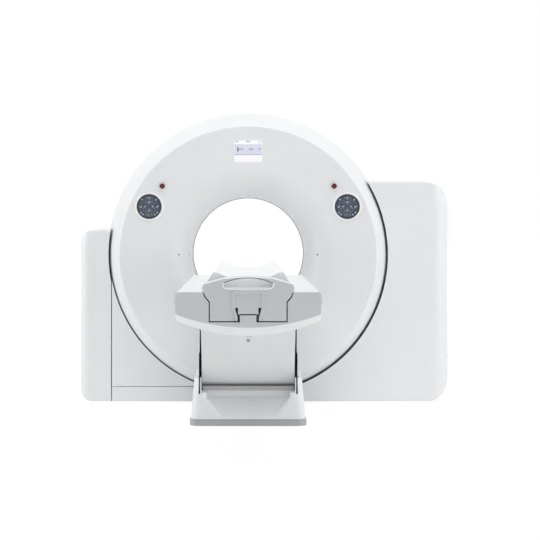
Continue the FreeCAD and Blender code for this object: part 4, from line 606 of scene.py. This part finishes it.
arches = [arch(0, 16, 39, ARCH_W, 60, 120), arch(0, -8, 39, ARCH_W, 60, 84),
          arch(0, -8, 39, ARCH_W, 96, 120), arch(0, -2, 29, LOW_ARCH_W, 233, 262),
          arch(0, -2, 29, LOW_ARCH_W, 278, 307)]
symbols = [bar(*place) for place in (       # x, y, length, width, angle
    (0, 48, 9, 6, 90), (1, 26, 13, 6, 68), (-42, 42, 12, 5, -42), (41, 41, 13, 5.5, 45),
    (48.5, -1, 15, 5.5, 42), (22.5, 0, 9, 7, 80), (-25, 0, 12, 5, 35), (-49, -1, 15, 5, 40),
    (0, -22, 14, 5, 68), (-49, -36, 11, 7, 50), (-37, -48, 13, 6.5, 42), (49, -36, 11, 7, -50),
    (35, -49, 13, 6.5, -42))]
pale_marks = [bar(*place) for place in (
    (-53, 38, 13, FINE_W, 45), (53, 38, 13, FINE_W, -45), (31, -9, 12, FINE_W, -50),
    (-33, -9, 12, FINE_W, 55), (-2, -48, 13, 5.0, 80), (-15, -49, 19, FINE_W, 50),
    (16, -49, 19, FINE_W, -50))] + arches
groups = [line for x, y in ((-KEY_STEP, 3), (KEY_STEP, 3), (0, KEY_STEP), (0, 2 - KEY_STEP))
          for line in diamond(x, y, GROUP_HALF, 2.0)]
# The keypad's dark edge ring is painted shade.
shade_ring = [arch(0, 0, PAD_R - EDGE_INSET, EDGE_W, a, a + 90) for a in QUARTERS]
lip_turns = [math.tau * i / LIP_STEPS for i in range(LIP_STEPS)]
lip_path = [(LIP_MID * math.cos(a), LIP_MID * math.sin(a)) for a in lip_turns]
# Each keypad's rim is white, and its extra whiteness is a painted highlight.
for label, plane in pad_planes.items():
    stamp(label + "_keypad_edge_shade", plane, shade_ring, 0.9, pad_edge_shade, "gantry_ring")
    stamp(label + "_keypad_outlines", plane, groups, INK, slate_ink, "gantry_ring")
    stamp(label + "_keypad_pale_marks", plane, pale_marks, 2 * INK, grey_ink, "gantry_ring")
    stamp(label + "_keypad_symbols", plane, symbols, 3 * INK, white_ink, "gantry_ring")
    ridge(label + "_keypad_rim", plane @ Matrix.Translation((0, 0, LIP_UP * MM)), [lip_path],
          LIP_W, LIP_H, highlight_white, "gantry_ring", closed=True)
print("keypad marks", len(symbols) + len(pale_marks) + len(groups))

# %% [markdown]
# ## The display
# The panel over the bore shows the table's height, its travel and the ring's tilt. Its middle
# is a lavender window with dark figures, and the strips above and below it are plain white.
# A picture of a screen could be laid on it, but real pieces stay sharp at any distance. A
# small pictogram stands over each figure: a short arrow under a line, a longer one, and an
# angle. The panel is lit from behind, so it glows a little.

# %% Display light and inks
BACKLIGHT = 0.16
# Tinted polycarbonate window, smooth: a cool lavender that looks lit.
window_tint = moulded("display_window_lavender", "#d4d4e6", "#cecfe2", 0.16, 3.0, 0.002,
                      patch_mm=50, wander=0.03)
for lit in (display_film, window_tint):
    shader = next(n for n in lit.node_tree.nodes if n.type == "BSDF_PRINCIPLED")
    shader.inputs["Emission Color"].default_value = linear("#f4f4ff")
    shader.inputs["Emission Strength"].default_value = BACKLIGHT
# Dark segments of the display, and the paler grey of its pictograms.
figure_ink = moulded("display_figures", "#4c4c60", "#444458", 0.4, 0.5, 0.003, patch_mm=6)
caption_ink = moulded("display_pictogram_ink", "#8c8c92", "#84848a", 0.4, 0.5, 0.003, patch_mm=6)
print("display glow", BACKLIGHT)

# %% [markdown]
# ## Figures on the display
# Figures could be drawn from bars too, but Blender's text object has the better shapes. It is
# turned into a flat mesh, scaled to millimetres and laid on the panel like a mark.

# %% Display window, figures and pictograms
CAP_SHARE = 0.72                # height of a figure as a share of the font's size
HEAD_SHARE, HEAD_DEG, HEAD_OVER = 0.16, 140, 2.2    # half an arrow's barb, its lean, its length
FIGURE_H, FIGURE_Y, FIGURE_UP, FIGURE_HALF_T = 12.0, 12.5, 0.25, 0.1
WINDOW_HALF, WINDOW_LOW, WINDOW_TOP = 81.5, -22, 42.4
WINDOW_T, MARK_T, CAPTION_T = 0.25, 0.45, 0.2
LINE_UP, LINE_W = 1.4, 2.4      # the line along the window's lower edge


def figures(name, text, height, x, y, plane, material, body):
    """Plain figures as a thin flat mesh, centred at (x, y) in millimetres."""
    curve = bpy.data.curves.new(name, "FONT")
    curve.body, curve.align_x, curve.align_y = text, "CENTER", "CENTER"
    curve.size, curve.extrude, curve.resolution_u = height / CAP_SHARE, FIGURE_HALF_T, 6
    drawn = bpy.data.objects.new(name + "_curve", curve)
    mesh = bpy.data.meshes.new_from_object(drawn)
    bpy.data.objects.remove(drawn)
    spot = Matrix.Translation((x * MM, y * MM, FIGURE_UP * MM))
    mesh.transform(plane @ spot @ Matrix.Scale(MM, 4))
    mesh.materials.clear()
    mesh.materials.append(material)
    return add_piece(name, mesh, body)


def arrow(x, y, length, width, angle):
    """Arrow with a head at each end."""
    turn = math.radians(angle)
    wing = HEAD_SHARE * length
    parts = [bar(x, y, length, width, angle)]
    for end in (1, -1):
        tip_x = x + end * length / 2 * math.cos(turn)
        tip_y = y + end * length / 2 * math.sin(turn)
        for lean in (HEAD_DEG, -HEAD_DEG):
            a = turn + math.radians(lean) + (math.pi if end < 0 else 0)
            parts.append(bar(tip_x + wing * math.cos(a), tip_y + wing * math.sin(a),
                             HEAD_OVER * wing, width, math.degrees(a)))
    return parts


face = flat_plane("display_panel")
window = [(-WINDOW_HALF, WINDOW_LOW), (WINDOW_HALF, WINDOW_LOW),
          (WINDOW_HALF, WINDOW_TOP), (-WINDOW_HALF, WINDOW_TOP)]
stamp("display_window", face, [window], WINDOW_T, window_tint, "gantry_ring")
window_edge = bar(0, WINDOW_LOW + LINE_UP, 2 * WINDOW_HALF, LINE_W)
stamp("display_window_edge", face, [window_edge], MARK_T, grey_ink, "gantry_ring")
READINGS = (("height_figures", "74.2", -43), ("travel_figures", "860", 17),
            ("tilt_figures", "0°", 71))
for name, text, x in READINGS:
    figures(name, text, FIGURE_H, x, FIGURE_Y, face, figure_ink, "gantry_ring")
table_mark = [bar(-61.5, 12, 30, 4.5, 90), bar(-61.5, 10, 13, 9, 90)]
stamp("display_table_mark", face, table_mark, MARK_T, figure_ink, "gantry_ring")
pictograms = (arrow(-68, 57, 17, 1.8, 0) + [bar(-68, 60, 20, 1.4)]
              + arrow(0, 57, 22, 1.8, 0) + [bar(0, 60, 24, 1.4)]
              + [bar(70, 54.5, 18, 1.5), bar(69, 57.5, 17, 1.5, 20)])
stamp("display_pictograms", face, pictograms, CAPTION_T, caption_ink, "gantry_ring")
print("readings", [text for _, text, _ in READINGS])

# %% [markdown]
# ## Covers with fuller corners
# The side covers are moulded shells, and in the photograph their outer corners are fuller
# than in the solids. A bevel modifier would also round every other edge. So these covers are
# copies of the solids whose points slide: near a corner every point moves along its ray from
# the corner's new centre, until the old outline lies on the new arc, and everything else
# stays where the solid has it. Extra cuts come first: a straight edge needs points to bend.

# %% Corner tool
CORNER_CUTS = 8


def round_corner(shape, box, side, up, old, new):
    """Slides the points of one outer corner from its old arc to a larger one (metres)."""
    centre = Vector((box[side > 0][0] - side * new, 0.0, box[up > 0][2] - up * new))
    for i in range(CORNER_CUTS + 1):
        step = (new - old) * i / CORNER_CUTS
        for way in (Vector((side, 0, 0)), Vector((0, 0, up))):
            everything = shape.verts[:] + shape.edges[:] + shape.faces[:]
            bmesh.ops.bisect_plane(shape, geom=everything, plane_co=centre + way * step,
                                   plane_no=way)
    inset = new - old
    for vert in shape.verts:
        x, z = side * (vert.co.x - centre.x), up * (vert.co.z - centre.z)
        if x <= 0 or z <= 0:
            continue
        c, s = x / math.hypot(x, z), z / math.hypot(x, z)
        reach = new / max(c, s)                 # where this ray leaves the old straight side
        if reach * min(c, s) > inset:           # or, nearer the diagonal, the old arc
            b = inset * (c + s)
            reach = b + math.sqrt(b * b - 2 * inset * inset + old * old)
        vert.co.x = centre.x + side * x * new / reach
        vert.co.z = centre.z + up * z * new / reach


print("cuts at a corner:", CORNER_CUTS)

# %% [markdown]
# ## Copies that stand for a node
# The frame's own meshes stay as they are, so a changed form is a copy that stands for its
# node. CAD meshes have doubled points along their edges and fixed normals, and both would
# show as creases after a change. So the points are merged, and the normals worked out again:
# sharp at real edges, and weighted by area, which keeps large flat faces flat to the eye.

# %% Side covers and base plate
SHARP_DEG = 32
MERGE_M = 1e-6
# Each cover's outer side (1 is right), then for its upper (1) and lower (-1) corner the
# radius in the solid and the radius seen, in mm.
COVER_CORNERS = {
    "right_cover": (1, ((1, 80.0, 155.0), (-1, 80.0, 142.0))),
    "left_cover": (-1, ((1, 64.0, 97.0), (-1, 64.0, 79.0))),
}


def dressed_copy(node, body, change, material=cover_paint):
    """Copies a node's mesh, changes its shape and lets the copy stand for the node."""
    shape = bmesh.new()
    shape.from_mesh(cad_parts[node].data)
    bmesh.ops.remove_doubles(shape, verts=shape.verts, dist=MERGE_M)
    change(shape)
    mesh = as_mesh(node + "_shell", shape, material)
    if "custom_normal" in mesh.attributes:
        mesh.attributes.remove(mesh.attributes["custom_normal"])
    mesh.shade_smooth()
    mesh.set_sharp_from_angle(angle=math.radians(SHARP_DEG))
    piece = add_piece(mesh.name, mesh, body)
    if body:
        piece.modifiers.new("even_normals", "WEIGHTED_NORMAL").keep_sharp = True
    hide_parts(node)
    print(piece.name, len(mesh.polygons), "faces")
    return piece


def cover_corners(shape, node, first=0):
    """Rounds a cover's two outer corners, or with first=1 only the lower one."""
    side, corners = COVER_CORNERS[node]
    for up, old, new in corners[first:]:
        round_corner(shape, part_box(node), side, up, old * MM, new * MM)


def plate_ends(shape):
    """The base plate's ends stay inside the covers' lower corners."""
    for node in COVER_CORNERS:
        cover_corners(shape, node, first=1)


for node in COVER_CORNERS:
    dressed_copy(node, "base", lambda shape: cover_corners(shape, node))
dressed_copy("gantry_base_plate", "base", plate_ends, frame_coat)

# %% [markdown]
# ## The ring's face and bevel
# Between the ring's dished face and its spherical rim runs a bevel, and the photograph shows
# it a little wider than the solid has it. Scaling the whole cover would move the rim too. So
# each radius slides by its own amount, read from a short table, and points outside the table
# stay. The face ends in a crisp edge, which is marked sharp so that the light breaks there.

# %% Ring cover
EDGE_SEEN = 760.0
RING_RADII = (          # from the ring's axis, in mm: in the solid, seen
    (738.0, 738.0), (776.0, EDGE_SEEN), (796.0, 771.0), (855.0, 855.0))
EDGE_SLACK_MM, FACE_Y = 0.4, -0.3       # the edge lies in front of this y, in metres
bore_low, bore_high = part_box("bore_liner")
ring_z = (bore_low[2] + bore_high[2]) / 2


def wider_bevel(shape):
    """Slides the ring's face edge and bevel towards the bore."""
    for vert in shape.verts:
        x, z = vert.co.x, vert.co.z - ring_z
        r = math.hypot(x, z) / MM
        for (r0, seen0), (r1, seen1) in zip(RING_RADII, RING_RADII[1:]):
            if r0 < r <= r1:
                grow = (seen0 + (r - r0) * (seen1 - seen0) / (r1 - r0)) / r
                vert.co.x, vert.co.z = x * grow, ring_z + z * grow


def on_face_edge(point):
    """True for a point of the edge where the ring's face ends."""
    off = abs(math.hypot(point.x, point.z - ring_z) - EDGE_SEEN * MM)
    return off < EDGE_SLACK_MM * MM and point.y < FACE_Y


ring_front = dressed_copy("front_cover", "gantry_ring", wider_bevel)
for edge in ring_front.data.edges:
    if all(on_face_edge(ring_front.data.vertices[i].co) for i in edge.vertices):
        edge.use_edge_sharp = True

# %% [markdown]
# ## The back of the covers
# Behind, such a scanner has what its service technician and its fans need: a seam where the
# bell-mouth ring joins the rear cover, quarter-turn fasteners round the edge, and louvres
# over the power unit and the generators. The slots could be cut through the covers, but
# behind them is only the dark inside, so a black slot under a rounded hood shows the same.

# %% Rear seams and fasteners
# Nylon, moulded: slightly darker than the paint, so that the fasteners can be found.
fastener_plastic = moulded("grey_nylon_fastener", "#b9bbbe", "#afb1b4", 0.5, 1.0, 0.01,
                           patch_mm=10)
BELL_SEAM_R, BELL_SEAM_W, SEAM_T, SEAM_STEPS = 470.0, 2.2, 0.12, 40
FASTENER_R, FASTENER_COUNT, FASTENER_W, FASTENER_T = 735.0, 8, 20.0, 1.6
KEY_SLOT_L, KEY_SLOT_W, KEY_SLOT_T, KEY_SLOT_DEG = 13.0, 2.4, 1.8, 35
back = flat_plane("rear_cover", facing=1)
seam_and_shade_band = [arch(0, 0, BELL_SEAM_R, BELL_SEAM_W, a, a + 90, steps=SEAM_STEPS) for a in QUARTERS]
stamp("rear_bell_seam", back, seam_and_shade_band, SEAM_T, joint_and_shade_grey, "gantry_ring")
turns = [math.tau * (i + 0.5) / FASTENER_COUNT for i in range(FASTENER_COUNT)]
spots = [(FASTENER_R * math.cos(a), FASTENER_R * math.sin(a)) for a in turns]
discs = [bar(x, y, FASTENER_W, FASTENER_W, steps=14) for x, y in spots]
key_slots = [bar(x, y, KEY_SLOT_L, KEY_SLOT_W, KEY_SLOT_DEG) for x, y in spots]
stamp("rear_cover_fasteners", back, discs, FASTENER_T, fastener_plastic, "gantry_ring")
# The key slots' dark grey is painted shade in the slots.
stamp("rear_fastener_slots", back, key_slots, KEY_SLOT_T, joint_and_shade_grey, "gantry_ring")
print("fasteners", len(spots))

# %% [markdown]
# ## The louvres
# Fans blow warm air out through two fields of slots. Each could be placed by hand, but it
# repeats the one below, so a loop makes a field from its place, rows and length. The hoods
# are the keypads' half-round bead once more.

# %% Rear louvres
LOUVRE_STEP, LOUVRE_LOW = 22.0, 280.0   # from row to row, and the lowest row above the floor
SLOT_W, SLOT_T = 7.0, 0.15
HOOD_UP, HOOD_W, HOOD_H = 5.0, 10.0, 5.0
LOUVRES = (             # cover, middle (mm from the ring's axis), rows, length
    ("right_cover", 1020.0, 14, 150.0),
    ("left_cover", -921.0, 9, 90.0),
)
# The black slot bars are painted shade of the dark inside.
for node, x, rows, length in LOUVRES:
    back = flat_plane(node, facing=1)
    u = back.translation.x / MM - x             # seen from behind, right is -x
    v0 = LOUVRE_LOW - back.translation.z / MM
    levels = [v0 + LOUVRE_STEP * i for i in range(rows)]
    hoods = [[(u - length / 2, v + HOOD_UP), (u, v + HOOD_UP), (u + length / 2, v + HOOD_UP)]
             for v in levels]
    label = node.split("_")[0]
    stamp(label + "_rear_vent_slots", back, [bar(u, v, length, SLOT_W) for v in levels],
          SLOT_T, black_rubber_and_shade, "base")
    ridge(label + "_rear_louvres", back, hoods, HOOD_W, HOOD_H, cover_paint, "base", across=6)
print("louvres", sum(row[2] for row in LOUVRES))

# %% [markdown]
# ## The apron
# The apron is a taut sheet of coated fabric between the table's underside and a bar in the
# base. Cloth simulation is the usual way to a sheet, but a stretched one has no folds to
# find, and the solid already has its curve. So a copy of the solid stands for it.

# %% Apron sheet
apron_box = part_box("front_apron")
sheet_y = apron_box[0][1]


def on_apron(piece):
    """Bakes a piece's placement into its mesh."""
    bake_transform(piece)
    return piece


apron_cloth = on_apron(dressed_copy("front_apron", None, lambda shape: None, apron_sheet))
print("apron", rounded(apron_box))

# %% [markdown]
# ## What sits on the apron
# One round plug and two small pins sit on the sheet.
# Each is a short profile, revolved about the axis that points out of the sheet. A plain
# cylinder would lack the rounded edge and the hollow that make the plug read as a plug.

# %% Plug and pins
PLUG_Z, PIN_UP = 447.0, 20.0    # plug above the floor, pins above the plug
PLUG_PROFILE = [(10.0, 0.0), (10.0, 1.2), (9.0, 2.2), (7.0, 2.6), (2.4, 2.7), (2.2, 2.2)]
PIN_PROFILE = [(2.6, 0.0), (2.6, 0.8), (1.6, 1.3)]
# Polypropylene, moulded: a mid grey with a soft gloss.
plug_grey = moulded("grey_plug_plastic", "#b3b4b8", "#a9aaae", 0.35, 1.0, 0.008, patch_mm=10)


def turned_piece(name, profile, x, z, material, steps):
    """Revolves (radius, out) points about the axis out of the sheet, at x and z (all in mm)."""
    place = Vector((x * MM, sheet_y, z * MM))
    turns = [math.tau * i / steps for i in range(steps)]
    spokes = [(math.cos(a), math.sin(a)) for a in turns]
    shape, rings = bmesh.new(), []
    for radius, out in profile:
        rings.append([shape.verts.new(place + MM * Vector((radius * c, -out, radius * s)))
                      for c, s in spokes])
    for near, far in zip(rings, rings[1:]):
        for i in range(steps):
            j = (i + 1) % steps
            shape.faces.new((near[i], near[j], far[j], far[i]))
    shape.faces.new(rings[-1])
    return as_piece(name, shape, material, smooth=True)


FITTINGS = (            # name, profile, x, z, finish, steps round
    ("apron_plug", PLUG_PROFILE, 0.0, PLUG_Z, plug_grey, 48),
    ("apron_pale_pin", PIN_PROFILE, -2.0, PLUG_Z + PIN_UP, plug_grey, 20),
    ("apron_dark_pin", PIN_PROFILE, 11.0, PLUG_Z + PIN_UP, black_rubber_and_shade, 20),
)
fittings = [on_apron(turned_piece(*row)) for row in FITTINGS]
print("on the apron", [piece.name for piece in fittings])

# %% [markdown]
# ## The table's end cap
# Three things stand out on the grey end of the cradle: the pale scoop of the hand hold, the
# rounded crest above it, and the black slots in which the grip swings. Their tones are painted:
# painted light in the scoop, which lies in shade, a painted highlight on the crest, and painted
# shade in the slots. New forms would have to meet the cap's curves exactly. So scoop, crest and
# slots are linings: they copy the faces that the CAD node already has there and lift them by a
# fraction of a millimetre, so that they follow the cap's curves.

# %% Linings of hand hold, crest and slots
HUMP_H = 68.0                   # the cap's hump above the table top
SCOOP_DEPTH = 0.6               # the moulded cup is this share as deep as the hold in the solid
HOLD_MIDDLE = (0.0, 2.0, 40.0)
SLOT_CLEAR = 0.035              # metres from the middle within which no slot lies
cap_low, cap_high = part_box("cradle_end_cap")
cap_origin = Vector((0.0, cap_low[1], cap_high[2] - HUMP_H * MM))
scoop_middle = cap_origin + Vector(HOLD_MIDDLE) * MM


def lining(name, low, high, offset, material, wanted, depth=1.0):
    """Copies the cap's faces inside a box (mm, from its front and the table top)."""
    shape = bmesh.new()
    shape.from_mesh(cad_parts["cradle_end_cap"].data)
    box_low, box_high = [[v * MM + o for v, o in zip(corner, cap_origin)]
                         for corner in (low, high)]
    spare = []
    for face in shape.faces:
        c = face.calc_center_median()
        inside = all(a <= v <= b for a, v, b in zip(box_low, c, box_high))
        if not (inside and wanted(face.normal, c)):
            spare.append(face)
    bmesh.ops.delete(shape, geom=spare, context="FACES")
    bmesh.ops.remove_doubles(shape, verts=shape.verts, dist=MERGE_M)
    shape.normal_update()
    for vert in shape.verts:
        vert.co += vert.normal * offset * MM
        vert.co.y = cap_origin.y + (vert.co.y - cap_origin.y) * depth
    mesh = as_mesh(name, shape, material)
    print(name, len(mesh.polygons), "faces")
    return add_piece(name, mesh, "cradle_slide")


# Name, the box's corners, lift in mm, finish, and which faces inside are wanted.
# The scoop's white is painted light in the hold, which lies in shade.
lining("hand_hold_scoop_painted_light", (-113, 0.4, 10), (113, 36, 64), 0.4, highlight_white,
       lambda n, c: n.dot(scoop_middle - c) > 0 and n.z > -0.5, depth=SCOOP_DEPTH)
# The crest's white is a painted highlight along the cap's rounded top edge.
lining("cap_crest_painted_highlight", (-200, 0.05, 30), (200, 12, 70), 0.3, highlight_white,
       lambda n, c: n.z > 0.25 and n.dot(scoop_middle - c) < 0)
# The slots' black is painted shade down in the slots.
lining("release_slots_painted_shade", (-64, 0.4, -134), (64, 27, -60), 0.25, black_rubber_and_shade,
       lambda n, c: abs(c.x) > SLOT_CLEAR)

# %% [markdown]
# ## Edges round the hand hold and the grip
# A dark band of painted shade runs over the hand hold, a white lip with a painted highlight
# under it, and a bead round the release grip. Drawn curves with a bevel would be tubes again,
# so the shade band is a flat mark, and lip and bead are swept like the keypads' rims. Each
# path is drawn for one half and mirrored, because both sides are alike.

# %% Shade band, lip and grip bead
HOLD_SHADE_R, HOLD_SHADE_TOP, HOLD_SHADE_W, HOLD_SHADE_T = 262.0, 63.0, 3.4, 0.2
TROUGH_D, PIVOT_UP = 133.0, 19.0        # trough below the table top, the grip's pivot above it
LIP_HALF = [(0, 9), (50, 11), (96, 15), (108, 20), (112, 30), (109, 40)]
GRIP_HALF = [(54.0, -8), (55.0, 3), (66.0, 44), (66.0, 100), (65.0, 108), (60.0, 113),
             (52.0, 114.5)]
HOLD_LIP_W, HOLD_LIP_H, BEAD_W, BEAD_H = 7.0, 3.0, 12.0, 3.4
UPRIGHT = Matrix.Rotation(math.radians(90), 4, "X")
cap_plane = Matrix.Translation(cap_origin) @ UPRIGHT
# The dark band over the hand hold is painted shade under its top bar.
seam_and_shade_band = arch(0, HOLD_SHADE_TOP - HOLD_SHADE_R, HOLD_SHADE_R, HOLD_SHADE_W, 65.0, 115.0)
stamp("hand_hold_shade_band", cap_plane, [seam_and_shade_band], HOLD_SHADE_T, joint_and_shade_grey, "cradle_slide")
lip = rounded_path([(-x, z) for x, z in LIP_HALF[:0:-1]] + LIP_HALF)
# The lip's white is a painted highlight on the hold's lower ledge.
ridge("hand_hold_lip_painted_highlight", cap_plane, [lip], HOLD_LIP_W, HOLD_LIP_H, highlight_white, "cradle_slide")

grip_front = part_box("release_grip")[0][1]
grip_plane = Matrix.Translation((0.0, grip_front, cap_origin.z)) @ UPRIGHT
pivot = PIVOT_UP - TROUGH_D
half = [(x, pivot + z) for x, z in GRIP_HALF]
bead = rounded_path([(-x, z) for x, z in half] + half[::-1])
ridge("release_grip_bead", grip_plane, [bead], BEAD_W, BEAD_H, grip_abs, "grip")
print("cap dressed, bead of", len(bead), "points")
